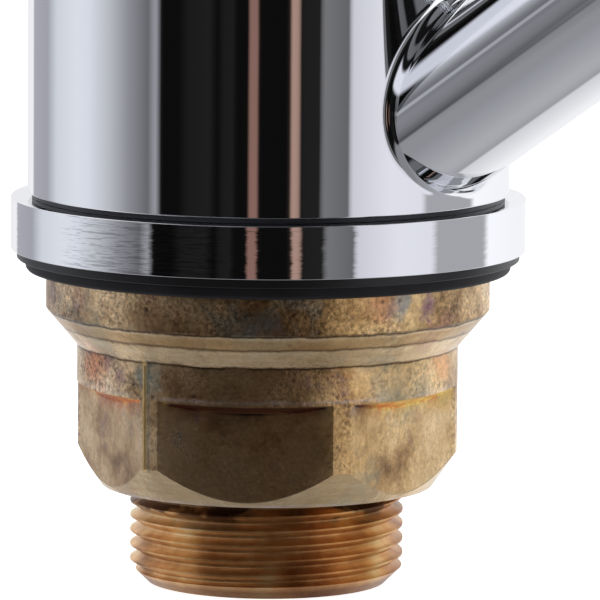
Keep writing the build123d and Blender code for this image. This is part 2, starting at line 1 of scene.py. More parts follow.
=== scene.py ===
import math

import bpy
from mathutils import Matrix, Vector


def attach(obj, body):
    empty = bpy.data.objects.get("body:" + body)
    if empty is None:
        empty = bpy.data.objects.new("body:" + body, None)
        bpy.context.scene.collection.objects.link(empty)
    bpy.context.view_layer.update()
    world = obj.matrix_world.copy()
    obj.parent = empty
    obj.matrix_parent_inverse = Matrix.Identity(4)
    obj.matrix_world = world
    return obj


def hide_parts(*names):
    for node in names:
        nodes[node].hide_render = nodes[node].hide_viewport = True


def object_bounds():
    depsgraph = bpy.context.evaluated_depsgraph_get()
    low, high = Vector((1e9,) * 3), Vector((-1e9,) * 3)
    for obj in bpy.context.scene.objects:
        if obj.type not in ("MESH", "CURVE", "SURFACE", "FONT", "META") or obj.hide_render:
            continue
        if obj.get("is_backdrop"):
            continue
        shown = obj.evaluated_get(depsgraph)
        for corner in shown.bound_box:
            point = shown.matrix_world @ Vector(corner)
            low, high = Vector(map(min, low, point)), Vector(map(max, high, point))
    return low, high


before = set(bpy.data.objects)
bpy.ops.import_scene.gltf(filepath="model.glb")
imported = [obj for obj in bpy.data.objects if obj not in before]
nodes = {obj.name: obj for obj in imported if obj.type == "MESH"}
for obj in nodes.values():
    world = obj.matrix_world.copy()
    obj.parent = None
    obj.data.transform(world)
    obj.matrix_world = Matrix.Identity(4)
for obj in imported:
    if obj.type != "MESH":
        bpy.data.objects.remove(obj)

cad_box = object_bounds()

# The studio: a photographer's table of white lit acrylic, a white sweep behind, and soft boxes
# left and right with grey gaps between them. The room behind the camera is dark, so the chrome
# shows a black middle between white bands.


def linear(code, strength=1.0):
    """Turns an sRGB hex colour to the linear colour that a socket takes."""
    parts = [int(code[i:i + 2], 16) / 255 for i in (1, 3, 5)]
    bent = [c / 12.92 if c <= 0.04045 else ((c + 0.055) / 1.055) ** 2.4 for c in parts]
    return (bent[0] * strength, bent[1] * strength, bent[2] * strength, 1.0)


def feed(made, feeds):
    """Sets a node's inputs, by name or in order, to values, hex colours, sockets or nodes' results."""
    for key, value in feeds.items() if isinstance(feeds, dict) else enumerate(feeds):
        if isinstance(value, bpy.types.Node):
            value = next(result for result in value.outputs if result.enabled)
        if isinstance(value, bpy.types.NodeSocket):
            made.id_data.links.new(value, made.inputs[key])
        else:
            made.inputs[key].default_value = linear(value) if isinstance(value, str) else value


def put(tree, kind, feeds=(), stops=(), **settings):
    """Adds a node with its settings, what its inputs take and, from low to high, its ramp's stops."""
    made = tree.nodes.new("ShaderNode" + kind)
    for name, value in settings.items():
        setattr(made, name, value)
    feed(made, feeds)
    for i, (place, colour) in enumerate([*stops[:1], *stops[-1:], *stops[1:-1]]):
        stop = made.color_ramp.elements[i] if i < 2 else made.color_ramp.elements.new(place)
        stop.position = place
        stop.color = linear(colour) if isinstance(colour, str) else colour
    return made


# The camera stands 0.7 m in front of the tap, a little above its foot, and looks slightly down.
spout_azimuth = math.radians(52)
camera_pitch = math.radians(7.516)
camera_roll = 0.0070
camera_shift = 0.00329
camera_distance = 0.7
camera_height = 0.0879
upward = Vector((0, 0, 1))
to_right = Vector((math.sin(spout_azimuth), math.cos(spout_azimuth), 0))
to_camera = Vector((math.cos(spout_azimuth), -math.sin(spout_azimuth), 0))
forward = -math.cos(camera_pitch) * to_camera - math.sin(camera_pitch) * upward
level_up = -math.sin(camera_pitch) * to_camera + math.cos(camera_pitch) * upward
right = math.cos(camera_roll) * to_right + math.sin(camera_roll) * level_up
up = -math.sin(camera_roll) * to_right + math.cos(camera_roll) * level_up
eye = camera_shift * to_right + camera_distance * to_camera + camera_height * upward
bpy.ops.object.select_all(action="DESELECT")
bpy.ops.object.camera_add()
camera = bpy.context.active_object
camera.name = "camera"
camera.data.lens = 414
camera.data.sensor_width = 36
camera.data.clip_start = 0.01
camera.data.clip_end = 50
camera.matrix_world = Matrix((
    (right.x, up.x, -forward.x, eye.x),
    (right.y, up.y, -forward.y, eye.y),
    (right.z, up.z, -forward.z, eye.z),
    (0, 0, 0, 1),
))
bpy.context.scene.camera = camera
bpy.context.scene.view_settings.view_transform = "Standard"

studio = bpy.data.worlds.new("studio")
bpy.context.scene.world = studio
studio.use_nodes = True
tree = studio.node_tree
tree.nodes.clear()
way = put(tree, "TexCoord").outputs["Generated"]
across = put(tree, "VectorMath", (way, to_right), operation="DOT_PRODUCT")
towards = put(tree, "VectorMath", (way, to_camera), operation="DOT_PRODUCT")
height = put(tree, "SeparateXYZ", (way,)).outputs["Z"]
angle = put(tree, "Math", (across, towards), operation="ARCTAN2")
turn = put(tree, "MapRange", (angle, -math.pi, math.pi))

# Round the tap at eye level, in degrees from the camera to the right: from the left edge of the
# white sweep over the left boxes, the dark room and the right boxes back to the sweep. Two rose
# bars, the edges of the photographer's screens, stand in the dark.
room_strength = 1.25
room_tones = [
    (-168, "#DCDCDF"), (-153, "#E6E6E8"), (-151, "#A2A2AA"), (-131, "#9C9CA4"),
    (-128, "#ABADB5"), (-121, "#CACDD4"), (-104, "#D7DAE1"), (-95, "#D3D6DF"),
    (-82, "#B6B8BE"), (-70, "#8A8A90"), (-59, "#646468"), (-55, "#96969C"),
    (-52, "#0C0C0C"), (-43, "#0C0C0C"), (-38, "#1A1A1A"), (-28, "#1D1D1D"),
    (-24.2, "#0A0A0A"), (-21, "#1A1A1A"), (-17, "#1C1C1C"), (-15, "#0C0C0C"),
    (12, "#0C0C0C"), (17, "#1D1D1D"), (24, "#1E1E1E"), (26, "#727274"),
    (38, "#626265"), (40, "#C6C6CE"), (60, "#DCDCE4"), (78, "#D9D9E1"),
    (81.5, "#A0A0A4"), (112, "#A0A0A4"), (116, "#F4F5F9"), (180, "#E2E2E4"),
]
rose_tones = [
    (-9.8, "#000000"), (-8.4, "#826259"), (-5.4, "#826259"), (-4.2, "#000000"),
    (9.8, "#000000"), (11, "#A28478"), (13.8, "#A28478"), (15.2, "#000000"),
]
room_stops, rose_stops = [
    [((degrees + 180) / 360, linear(code, room_strength)) for degrees, code in tones]
    for tones in (room_tones, rose_tones)
]
round_room = put(tree, "ValToRGB", (turn,), room_stops)
rose_bars = put(tree, "ValToRGB", (turn,), rose_stops)
bar_middle = -0.13
off_bar = put(tree, "Math", (height, bar_middle), operation="SUBTRACT")
off_bar = put(tree, "Math", (off_bar,), operation="ABSOLUTE")
bar_share = put(tree, "MapRange", (off_bar, 0.13, 0.06))
round_room = put(
    tree, "Mix", {0: bar_share, 6: round_room, 7: rose_bars},
    data_type="RGBA", blend_type="ADD",
)

# On the far left the room fades towards the floor, with one lit shelf in it: each level's share.
fade_top = 0.35
fade_foot = -0.65
fade = [
    (0.35, 1.0), (0.25, 0.9), (0.178, 0.73), (0.125, 0.62), (0.066, 0.49), (0.01, 0.40),
    (-0.05, 0.38), (-0.072, 0.55), (-0.083, 1.0), (-0.134, 1.0), (-0.148, 0.6), (-0.19, 0.66),
    (-0.25, 0.84), (-0.31, 0.91), (-0.43, 1.0), (-0.55, 0.83), (-0.60, 0.5),
]
fade_stops = [
    ((fade_top - level) / (fade_top - fade_foot), (share, share, share, 1))
    for level, share in fade
]
far_left = put(tree, "MapRange", (across, -0.30, -0.42))
in_front = put(tree, "MapRange", (towards, -0.3, -0.1))
sinking = put(tree, "MapRange", (height, fade_top, fade_foot))
sinking = put(tree, "ValToRGB", (sinking,), fade_stops)
sinks = put(tree, "Math", (in_front, far_left), operation="MULTIPLY")
room = put(
    tree, "Mix", {0: sinks, 6: round_room, 7: sinking},
    data_type="RGBA", blend_type="MULTIPLY",
)

# A large soft box hangs high on the left in front.
high_left = put(tree, "MapRange", (across, 0.0, -0.28), interpolation_type="SMOOTHSTEP")
high_enough = put(tree, "MapRange", (height, 0.14, 0.23), interpolation_type="SMOOTHSTEP")
in_box = put(tree, "Math", (high_left, high_enough), operation="MULTIPLY")
in_box = put(tree, "Math", (in_box, in_front), operation="MULTIPLY")
room = put(tree, "Mix", {0: in_box, 6: room, 7: linear("#CDCED8", 1.4)}, data_type="RGBA")

# The ceiling is dark with a grey ring and a grey middle, and lights hang behind left and right.
overhead = put(tree, "MapRange", (height, 0.42, 0.50), interpolation_type="SMOOTHSTEP")
ceiling = put(
    tree, "ValToRGB", (height,),
    [
        (0.58, "#161617"), (0.61, "#727375"), (0.72, "#6A6B6D"), (0.76, "#161617"),
        (0.90, "#161617"), (0.935, "#77787C"),
    ],
)
left_light = put(tree, "MapRange", (across, -0.28, -0.42), interpolation_type="SMOOTHSTEP")
behind = put(tree, "MapRange", (towards, 0.15, -0.05), interpolation_type="SMOOTHSTEP")
back_light = put(tree, "Math", (left_light, behind), operation="MULTIPLY")
right_light = put(tree, "MapRange", (across, 0.48, 0.60), interpolation_type="SMOOTHSTEP")
high_lights = put(tree, "Math", (back_light, right_light), operation="MAXIMUM")
ceiling = put(
    tree, "Mix", {0: high_lights, 6: ceiling, 7: linear("#FFFFFF", 1.3)},
    data_type="RGBA",
)
room = put(tree, "Mix", {0: overhead, 6: room, 7: ceiling}, data_type="RGBA")

# The lit table top fills what lies below, grey near the camera and white towards the sweep.
table_start = put(tree, "MapRange", (far_left, 0.0, 1.0, -0.46, -0.60))
table_end = put(tree, "MapRange", (far_left, 0.0, 1.0, -0.60, -0.65))
below = put(tree, "MapRange", (height, table_start, table_end), interpolation_type="SMOOTHSTEP")
from_back = put(tree, "MapRange", (towards, 0.6, -0.8))
table_top = put(
    tree, "ValToRGB", (from_back,),
    [
        (0.0, "#8C8D92"), (0.12, "#8E8F94"), (0.14, "#999A9F"), (0.19, "#999A9F"),
        (0.26, "#A2A3A9"), (0.36, "#ABACB1"), (0.51, "#B7B8BD"), (0.59, "#B6B7BC"),
        (0.64, "#AFB0B5"), (0.69, "#A6A7AB"), (0.72, "#E0E1E5"), (1.0, "#FDFDFF"),
    ],
)
room = put(tree, "Mix", {0: below, 6: room, 7: table_top}, data_type="RGBA")

# The camera itself sees plain white behind the tap.
lit = put(tree, "Background", {"Color": room, "Strength": 1.0})
plain = put(tree, "Background", {"Color": "#FFFFFF", "Strength": 1.0})
seen = put(tree, "LightPath").outputs["Is Camera Ray"]
both = put(tree, "MixShader", (seen, lit, plain))
put(tree, "OutputWorld", {"Surface": both})

table_gap = 0.0001
bpy.ops.mesh.primitive_circle_add(
    vertices=128, radius=3.0, fill_type="NGON", location=(0, 0, cad_box[0].z - table_gap),
)
table = bpy.context.active_object
table.name = "table"
table.visible_glossy = False
acrylic = bpy.data.materials.new("lit_white_acrylic")
acrylic.use_nodes = True
feed(acrylic.node_tree.nodes["Principled BSDF"], {
    "Base Color": "#F4F4F4", "Roughness": 0.6, "Emission Color": "#FFFFFF",
    "Emission Strength": 0.9,
})
table.data.materials.append(acrylic)
table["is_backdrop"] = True

# The body casting: one brass casting whose lower end is a shank with a cut M28 x 1.5 thread.
# The thread is cut on a lathe after casting, so its flanks are clean metal, and the open air has
# turned it bronze with darker patches. Two tapped holes in its end take the hoses.


def only(piece):
    """Selects one object and nothing else."""
    if bpy.context.object and bpy.context.object.mode != "OBJECT":
        bpy.ops.object.mode_set(mode="OBJECT")
    bpy.ops.object.select_all(action="DESELECT")
    piece.select_set(True)
    bpy.context.view_layer.objects.active = piece


def outline(name, points, closed=False):
    """Draws a half section in the XZ plane by extruding one point after another, in millimetres."""
    bpy.ops.object.select_all(action="DESELECT")
    bpy.ops.mesh.primitive_plane_add(size=0.001)
    drawn = bpy.context.active_object
    drawn.name = name
    bpy.ops.object.mode_set(mode="EDIT")
    bpy.ops.mesh.select_all(action="SELECT")
    bpy.ops.mesh.merge(type="CENTER")
    if closed:
        points = [*points, points[0]]
    bpy.ops.transform.translate(value=(points[0][0] / 1000, 0, points[0][1] / 1000))
    for (r0, z0), (r1, z1) in zip(points, points[1:]):
        step = ((r1 - r0) / 1000, 0, (z1 - z0) / 1000)
        bpy.ops.mesh.extrude_region_move(TRANSFORM_OT_translate={"value": step})
    if closed:
        bpy.ops.mesh.select_all(action="SELECT")
        bpy.ops.mesh.remove_doubles(threshold=0.000001)
    bpy.ops.object.mode_set(mode="OBJECT")
    return drawn


def sweep_round(drawn, steps, rise=0.0, turns=1):
    """Turns a half section about the Z axis, or winds it up by a rise per turn, without a seam."""
    screw = drawn.modifiers.new("turn", "SCREW")
    screw.steps = steps
    screw.render_steps = steps
    screw.screw_offset = rise
    screw.iterations = turns
    screw.use_merge_vertices = False
    only(drawn)
    bpy.ops.object.modifier_apply(modifier="turn")
    bpy.ops.object.mode_set(mode="EDIT")
    bpy.ops.mesh.select_all(action="SELECT")
    bpy.ops.mesh.remove_doubles(threshold=0.000002)
    bpy.ops.mesh.normals_make_consistent(inside=False)
    bpy.ops.object.mode_set(mode="OBJECT")


def cut_off(piece, height, keep_below):
    """Saws a piece across at a height in millimetres and closes the cut."""
    only(piece)
    bpy.ops.object.mode_set(mode="EDIT")
    bpy.ops.mesh.select_all(action="SELECT")
    bpy.ops.mesh.bisect(
        plane_co=(0, 0, height / 1000), plane_no=(0, 0, 1), use_fill=True,
        clear_inner=not keep_below, clear_outer=keep_below, threshold=0.0000005,
    )
    bpy.ops.object.mode_set(mode="OBJECT")


def combine(piece, tool, operation):
    """Cuts, joins or meets a piece with a tool body and removes the tool."""
    step = piece.modifiers.new("shape", "BOOLEAN")
    step.operation = operation
    step.object = tool
    step.solver = "EXACT"
    only(piece)
    bpy.ops.object.modifier_apply(modifier="shape")
    bpy.data.objects.remove(tool)


def begin(name):
    """Starts a finish: the material, its node tree, its shader and the piece's own coordinates."""
    finish = bpy.data.materials.new(name)
    finish.use_nodes = True
    tree = finish.node_tree
    return finish, tree, tree.nodes["Principled BSDF"], put(tree, "TexCoord").outputs["Object"]


def per_mm(count):
    """A pattern's scale, from how many of its grains or patches fit in a real millimetre."""
    return 1000 * count


def dress(piece, finish, body, slot, *hidden):
    """Gives a piece its one finish and its body, and hides the plain nodes it stands for. Its slot is
    not used.
    """
    piece.data.materials.clear()
    piece.data.materials.append(finish)
    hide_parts(*hidden)
    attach(piece, body)


thread_pitch = 1.5
thread_radius = 14.0
thread_depth = 0.61 * thread_pitch
root_radius = thread_radius - thread_depth
crest = thread_pitch / 8
root = thread_pitch / 6
flank = (thread_pitch - crest - root) / 2
shank_bottom = cad_box[0].z * 1000
thread_phase = 0.55
thread_top = -0.6
end_chamfer = 1.75
inlet_radius = 4.5
inlet_offset = 6.4
inlet_depth = 13
shank = outline("body_casting", [
    (root_radius, 0),
    (root_radius, root / 2),
    (thread_radius, root / 2 + flank),
    (thread_radius, root / 2 + flank + crest),
    (root_radius, thread_pitch - root / 2),
    (root_radius, thread_pitch),
])
only(shank)
bpy.ops.transform.translate(value=(0, 0, (shank_bottom - 2 * thread_pitch + thread_phase) / 1000))
bpy.ops.object.transform_apply()
sweep_round(shank, 128, rise=thread_pitch / 1000, turns=25)
cut_off(shank, thread_top, keep_below=True)
cut_off(shank, shank_bottom, keep_below=False)
chamfer_body = outline("chamfer_body", [
    (0, shank_bottom - 0.01),
    (thread_radius - end_chamfer, shank_bottom - 0.01),
    (thread_radius + 0.15, shank_bottom + end_chamfer + 0.1),
    (thread_radius + 0.15, 1),
    (0, 1),
])
sweep_round(chamfer_body, 128)
combine(shank, chamfer_body, "INTERSECT")
for side in (-1, 1):
    bpy.ops.mesh.primitive_cylinder_add(
        vertices=48, radius=inlet_radius / 1000, depth=2 * inlet_depth / 1000,
        location=(0, side * inlet_offset / 1000, shank_bottom / 1000),
    )
    combine(shank, bpy.context.active_object, "DIFFERENCE")
only(nodes["core_casting"])
bpy.ops.object.duplicate()
upper = bpy.context.active_object
upper.parent = None
bpy.ops.object.mode_set(mode="EDIT")
bpy.ops.mesh.select_all(action="SELECT")
bpy.ops.mesh.remove_doubles(threshold=0.000001)
bpy.ops.object.mode_set(mode="OBJECT")
cut_off(upper, thread_top, keep_below=False)
only(shank)
upper.select_set(True)
bpy.ops.object.join()
only(shank)
bpy.ops.object.shade_smooth_by_angle(angle=math.radians(25))

# Cut brass left in the air: warm bronze in patches 8 mm wide, with painted shade that darkens the
# middle and the right, darker in patches on the top turns just under the nut, and with a half matt
# sheen from tool marks half a millimetre apart.
thread_brass, tree, shader, place = begin("turned_brass_tarnished")
high = put(tree, "SeparateXYZ", (place,)).outputs["Z"]
clouds = put(
    tree, "TexNoise", {"Vector": place, "Scale": per_mm(0.13), "Detail": 5, "Roughness": 0.6},
)
tint = put(
    tree, "ValToRGB", (clouds,),
    [(0.26, "#9A6C48"), (0.40, "#C89460"), (0.54, "#F4C68A"), (0.64, "#FFECBC")],
)
sideways = put(tree, "VectorMath", (place, to_right), operation="DOT_PRODUCT")
sideways = put(tree, "MapRange", (sideways, -thread_radius / 1000, thread_radius / 1000))
# Painted shade: the middle and the right of the thread are darkened, and the left side is left bright.
painted_side_shade = put(
    tree, "ValToRGB", (sideways,),
    [
        (0.0, "#FFFFFF"), (0.20, "#FFFFFF"), (0.36, "#CDBDB0"), (0.66, "#C8B4A2"),
        (0.86, "#D8C2A4"), (1.0, "#DCCCB8"),
    ],
)
# The top turns, just under the nut, are darker in patches.
upper_turns = put(
    tree, "MapRange", (high, (shank_bottom + 7.3) / 1000, (shank_bottom + 8.2) / 1000, 0.0, 0.9),
)
dark_patches = put(tree, "TexNoise", {"Vector": place, "Scale": per_mm(0.26), "Detail": 3})
dark_patches = put(tree, "MapRange", (dark_patches, 0.43, 0.53))
upper_turns = put(tree, "Math", (upper_turns, dark_patches), operation="MULTIPLY")
# Painted shade: the end chamfer is darkened so that it does not shine with the lit table below it.
on_chamfer = put(
    tree, "MapRange", (high, (shank_bottom + 1.3) / 1000, (shank_bottom + 0.7) / 1000, 0.0, 0.75),
)
for share, above in ((1.0, painted_side_shade), (upper_turns, "#5A4248"), (on_chamfer, "#8E7058")):
    tint = put(tree, "Mix", {0: share, 6: tint, 7: above}, data_type="RGBA", blend_type="MULTIPLY")
grain = put(tree, "TexNoise", {"Vector": place, "Scale": per_mm(2.2), "Detail": 3})
rough = put(tree, "MapRange", (grain, 0.0, 1.0, 0.26, 0.46))
relief = put(tree, "Bump", {"Height": grain, "Strength": 0.35, "Distance": 0.00004})
feed(shader, {"Base Color": tint, "Metallic": 0.9, "Roughness": rough, "Normal": relief})
dress(shank, thread_brass, "base", "cast_brass", "core_casting")

# The base ring: turned brass, polished and chrome plated. It sits on the casting's foot and
# carries the turning body. Its edges are just broken, so they catch the light as thin lines.


def smooth_faces(piece):
    """Shades a piece smooth up to its sharp edges, with the broad faces left flat."""
    only(piece)
    bpy.ops.object.shade_smooth_by_angle(angle=math.radians(35))
    weigh = piece.modifiers.new("faces", "WEIGHTED_NORMAL")
    weigh.keep_sharp = True
    bpy.ops.object.modifier_apply(modifier="faces")


def soften(piece, width, limit=30):
    """Rounds the edges sharper than a limit in degrees by a width in millimetres."""
    only(piece)
    bevel = piece.modifiers.new("edges", "BEVEL")
    bevel.width = width / 1000
    bevel.segments = 3
    bevel.limit_method = "ANGLE"
    bevel.angle_limit = math.radians(limit)
    bpy.ops.object.modifier_apply(modifier="edges")
    smooth_faces(piece)


def plated(name, marks):
    """Chrome plate: a cool mirror with faint smears that, by marks, shows the lathe's lines."""
    made, tree, shader, place = begin(name)
    smear = put(
        tree, "TexNoise", {"Vector": place, "Scale": per_mm(0.06), "Detail": 6, "Roughness": 0.7},
    )
    rough = put(tree, "MapRange", (smear, 0.0, 1.0, 0.015, 0.05))
    drawn_out = [per_mm(count) for count in (0.25, 0.25, 2.2)]
    drawn_out = put(tree, "Mapping", {"Vector": place, "Scale": drawn_out})
    lines = put(tree, "TexNoise", {"Vector": drawn_out, "Scale": 1, "Detail": 2})
    fine = put(tree, "Bump", {"Height": lines, "Strength": marks, "Distance": 0.00004})
    waves = put(tree, "TexNoise", {"Vector": place, "Scale": per_mm(0.09), "Detail": 2})
    relief = put(
        tree, "Bump", {"Height": waves, "Strength": 0.012, "Distance": 0.0005, "Normal": fine},
    )
    feed(shader, {"Base Color": "#E9EAEC", "Metallic": 1.0, "Roughness": rough, "Normal": relief})
    return made


ring_radius = 26.3
ring_foot = 0.95
ring_top = 6.25
ring_bore = 21.6
ring_seat = 22.6
ring_lip = 4.75

# Turned and plated: a cool mirror in which the lathe's fine lines still show.
turned_chrome = plated("turned_and_chromed_brass", 0.5)
ring = outline("chromed_base_ring", [
    (ring_seat, ring_foot), (ring_radius, ring_foot), (ring_radius, ring_top),
    (ring_bore, ring_top), (ring_bore, ring_lip), (ring_seat, ring_lip),
], closed=True)
sweep_round(ring, 240)
soften(ring, 0.07)
dress(ring, turned_chrome, "base", "chromed_brass", "base_ring")

# The base gasket: moulded black rubber under the ring. It seals on the worktop, and a recess in
# its underside holds the washer.
gasket_radius = 25.7
gasket_bore = 14.1
recess_radius = 24.95
recess_depth = 0.4
gasket = outline("rubber_base_gasket", [
    (gasket_bore, recess_depth), (recess_radius, recess_depth), (recess_radius, 0),
    (gasket_radius, 0), (gasket_radius, ring_foot), (gasket_bore, ring_foot),
], closed=True)
sweep_round(gasket, 192)
soften(gasket, 0.12)

# Moulded rubber: nearly black, with a soft sheen broken up by a mould grain of a third of a mm.
gasket_rubber, tree, shader, place = begin("moulded_black_rubber")
grain = put(tree, "TexNoise", {"Vector": place, "Scale": per_mm(3), "Detail": 4})
relief = put(tree, "Bump", {"Height": grain, "Strength": 0.4, "Distance": 0.00003})
feed(shader, {
    "Base Color": "#0A0A0B", "Roughness": 0.4, "Specular IOR Level": 0.45, "Normal": relief,
})
dress(gasket, gasket_rubber, "base", "black_rubber", "base_gasket")

# The clamp washer: loose grey-black rubber between nut and worktop, with a rounded lower edge.
# Handling has rubbed it dull.
washer_radius = 24.8
washer_bore = 14.2
washer_foot = -1.25
washer_round = 0.45
rounded = []
for degrees in (0, 38.5, 63.5, 90):
    lean = math.radians(degrees)
    rounded.append((
        washer_radius - washer_round * (1 - math.sin(lean)),
        washer_foot + washer_round * (1 - math.cos(lean)),
    ))
washer = outline("rubber_clamp_washer", [
    (washer_bore, washer_foot), *rounded, (washer_radius, recess_depth), (washer_bore, recess_depth),
], closed=True)
sweep_round(washer, 192)
soften(washer, 0.1, limit=50)

# Worn rubber: charcoal with greyer rubbed patches 5 mm wide, and duller than the gasket.
washer_rubber, tree, shader, place = begin("worn_grey_rubber")
dust = put(tree, "TexNoise", {"Vector": place, "Scale": per_mm(0.18), "Detail": 5})
tint = put(tree, "ValToRGB", (dust,), [(0.35, "#070708"), (0.7, "#121215")])
grain = put(tree, "TexNoise", {"Vector": place, "Scale": per_mm(2.5), "Detail": 4})
relief = put(tree, "Bump", {"Height": grain, "Strength": 0.5, "Distance": 0.00004})
feed(shader, {"Base Color": tint, "Roughness": 0.55, "Specular IOR Level": 0.3, "Normal": relief})
dress(washer, washer_rubber, "washer", "grey_rubber", "clamp_washer")

# The fixing nut: cast brass with a flange, a cone, a round neck and six milled flats. The cone
# and the bottom chamfer are turned bright, the rest keeps its sand-cast skin with a thin mould
# seam, and heat and air have tarnished it brown, teal and, under each ledge, orange.
nut_top = -1.28
nut_foot = -23.28
nut_bore = 14.05
bore_mouth = 0.8
flange_radius = 22.7
flange_foot = -5.08
cone_foot = -8.88
neck_radius = 19.5
flat_distance = 17.35
hexagon_top = -12.68
hexagon_turn = math.radians(1)
foot_radius = 17.0
chamfer_top = nut_foot + 3.6
ledge_radius = 16.5
ledge_slope = 0.5
ledge_foot = hexagon_top - (neck_radius - ledge_radius) * ledge_slope
seam_turn = math.radians(38.9)
seam_radius = 0.14
seam_middle = -14.5
seam_length = 10.5
cast_nut = outline("cast_fixing_nut", [
    (nut_bore + bore_mouth, nut_foot), (foot_radius, nut_foot), (neck_radius, chamfer_top),
    (neck_radius, cone_foot), (flange_radius, flange_foot), (flange_radius, nut_top),
    (nut_bore + bore_mouth, nut_top), (nut_bore, nut_top - bore_mouth),
    (nut_bore, nut_foot + bore_mouth),
], closed=True)
sweep_round(cast_nut, 192)
bpy.ops.object.select_all(action="DESELECT")
bpy.ops.mesh.primitive_cylinder_add(
    vertices=6, radius=flat_distance / math.cos(math.radians(30)) / 1000, depth=0.04,
    location=(0, 0, hexagon_top / 1000), rotation=(0, 0, hexagon_turn),
)
hexagon = bpy.context.active_object
past_nut = 26
flats = outline("milled_flats", [
    (0, -past_nut), (past_nut, -past_nut), (past_nut, hexagon_top), (neck_radius, hexagon_top),
    (ledge_radius, ledge_foot), (0, ledge_foot),
])
sweep_round(flats, 192)
combine(flats, hexagon, "DIFFERENCE")
combine(cast_nut, flats, "DIFFERENCE")
seam = neck_radius / 1000 * (math.cos(seam_turn) * to_camera - math.sin(seam_turn) * to_right)
bpy.ops.object.select_all(action="DESELECT")
bpy.ops.mesh.primitive_cylinder_add(
    vertices=12, radius=seam_radius / 1000, depth=seam_length / 1000,
    location=(seam.x, seam.y, seam_middle / 1000),
)
combine(cast_nut, bpy.context.active_object, "UNION")
soften(cast_nut, 0.42, limit=25)

# Tarnished sand casting: brown and gold clouds 8 mm wide, half matt, over grains of 0.4 mm. The
# colours are laid over the skin one by one, each with its share and way of mixing.
cast_brass, tree, shader, place = begin("sand_cast_brass_tarnished")
high = put(tree, "SeparateXYZ", (place,)).outputs["Z"]
flat_place = put(tree, "VectorMath", (place, (1, 1, 0)), operation="MULTIPLY")
radius = put(tree, "VectorMath", (flat_place,), operation="LENGTH")
sideways = put(tree, "VectorMath", (place, to_right), operation="DOT_PRODUCT")
noise = {}
for seed, (name, count, detail) in enumerate((
    ("clouds", 0.12, 6), ("patches", 0.24, 4), ("sand", 2.4, 6), ("green", 0.11, 4),
    ("warm", 0.17, 4), ("oxide", 0.26, 3), ("heat", 0.38, 3), ("edge", 0.3, 5),
    ("pits", 0.18, 3), ("sandy", 0.13, 3),
)):
    noise[name] = put(
        tree, "TexNoise",
        {"Vector": place, "W": seed, "Scale": per_mm(count), "Detail": detail, "Roughness": 0.68},
        noise_dimensions="4D",
    )

# The skin's base colour, with painted light and shade: paler at the sides and darker in front, where
# the brass faces the dark room.
skin = put(
    tree, "ValToRGB", (noise["clouds"],),
    [(0.30, "#76604A"), (0.41, "#BCA07C"), (0.51, "#ECD4AC"), (0.62, "#FFEAC8"), (0.72, "#FFF4DC")],
)
drift = put(tree, "MapRange", (noise["patches"], 0.3, 0.7, -0.0018, 0.0018))
drift = put(tree, "Math", (sideways, drift), operation="ADD")
drift = put(tree, "MapRange", (drift, -flange_radius / 1000, flange_radius / 1000))
# Painted shade in front and painted light at the sides, laid over the whole skin.
side = put(
    tree, "ValToRGB", (drift,),
    [
        (0.0, "#F6F0EE"), (0.16, "#EADFD4"), (0.30, "#BCAE9F"), (0.42, "#AC9C8C"),
        (0.60, "#AE9A82"), (0.68, "#ECD6B2"), (0.80, "#FFF1D6"), (1.0, "#FFF4E0"),
    ],
)
layers = [(1.0, side, "MULTIPLY")]

# Teal, red and violet oxides: loose ones everywhere, and the larger stains at their places, each
# given to the right, to the front and up in millimetres.
green_share = put(tree, "MapRange", (noise["green"], 0.55, 0.68, 0.0, 0.6))
layers.append((green_share, "#6F8079", "MIX"))
oxide = put(
    tree, "ValToRGB", (noise["oxide"],),
    [(0.35, "#B26A38"), (0.47, "#A0705A"), (0.55, "#86667A"), (0.65, "#6E8894")],
)
warm_share = put(tree, "MapRange", (noise["warm"], 0.57, 0.68, 0.0, 0.6))
layers.append((warm_share, oxide, "MIX"))
torn = put(tree, "MapRange", (noise["edge"], 0.3, 0.7, -0.0022, 0.0022))
for right_mm, front_mm, up_mm, size, code in (
    (-17.6, 8.4, -9.6, 4.0, "#CF6C3C"), (-15.0, 12.5, -10.8, 2.2, "#8C6A78"),
    (-12.4, 15.1, -10.2, 2.6, "#58787C"), (-17.0, 13.0, -6.2, 3.4, "#77806C"),
    (13.8, 18.0, -2.0, 1.7, "#7C94A0"), (16.0, 16.1, -2.2, 1.5, "#94728C"),
    (11.0, 19.9, -1.7, 2.2, "#C88A60"), (16.6, 13.6, -6.3, 2.4, "#CF9480"),
    (17.6, 8.4, -9.6, 2.4, "#E8A060"),
):
    spot = (right_mm * to_right + front_mm * to_camera + up_mm * upward) / 1000
    gap = put(tree, "VectorMath", (place, spot), operation="DISTANCE")
    gap = put(tree, "Math", (gap, torn), operation="ADD")
    share = put(tree, "MapRange", (gap, size / 1000, size * 0.2 / 1000, 0.0, 0.6))
    layers.append((share, code, "MIX"))

# The cone and the chamfer are turned, so they are paler, smoother and finely lined.
wobble = put(tree, "MapRange", (noise["edge"], 0.3, 0.7, -0.00016, 0.00016))
wobble = put(tree, "Math", (high, wobble), operation="ADD")
turned_from = -0.0052
turned_to = -0.0089
below_flange = put(tree, "MapRange", (wobble, turned_from, turned_from - 0.0003))
above_neck = put(tree, "MapRange", (wobble, turned_to, turned_to + 0.0002))
on_cone = put(tree, "Math", (below_flange, above_neck), operation="MULTIPLY")
chamfer_line = put(
    tree, "MapRange",
    (high, nut_foot / 1000, chamfer_top / 1000, foot_radius / 1000, neck_radius / 1000),
)
chamfer_gap = put(tree, "Math", (radius, chamfer_line), operation="SUBTRACT")
chamfer_gap = put(tree, "Math", (chamfer_gap,), operation="ABSOLUTE")
near_chamfer = put(tree, "MapRange", (chamfer_gap, 0.00012, 0.00006))
below_neck = put(tree, "MapRange", (high, chamfer_top / 1000, (chamfer_top - 0.2) / 1000))
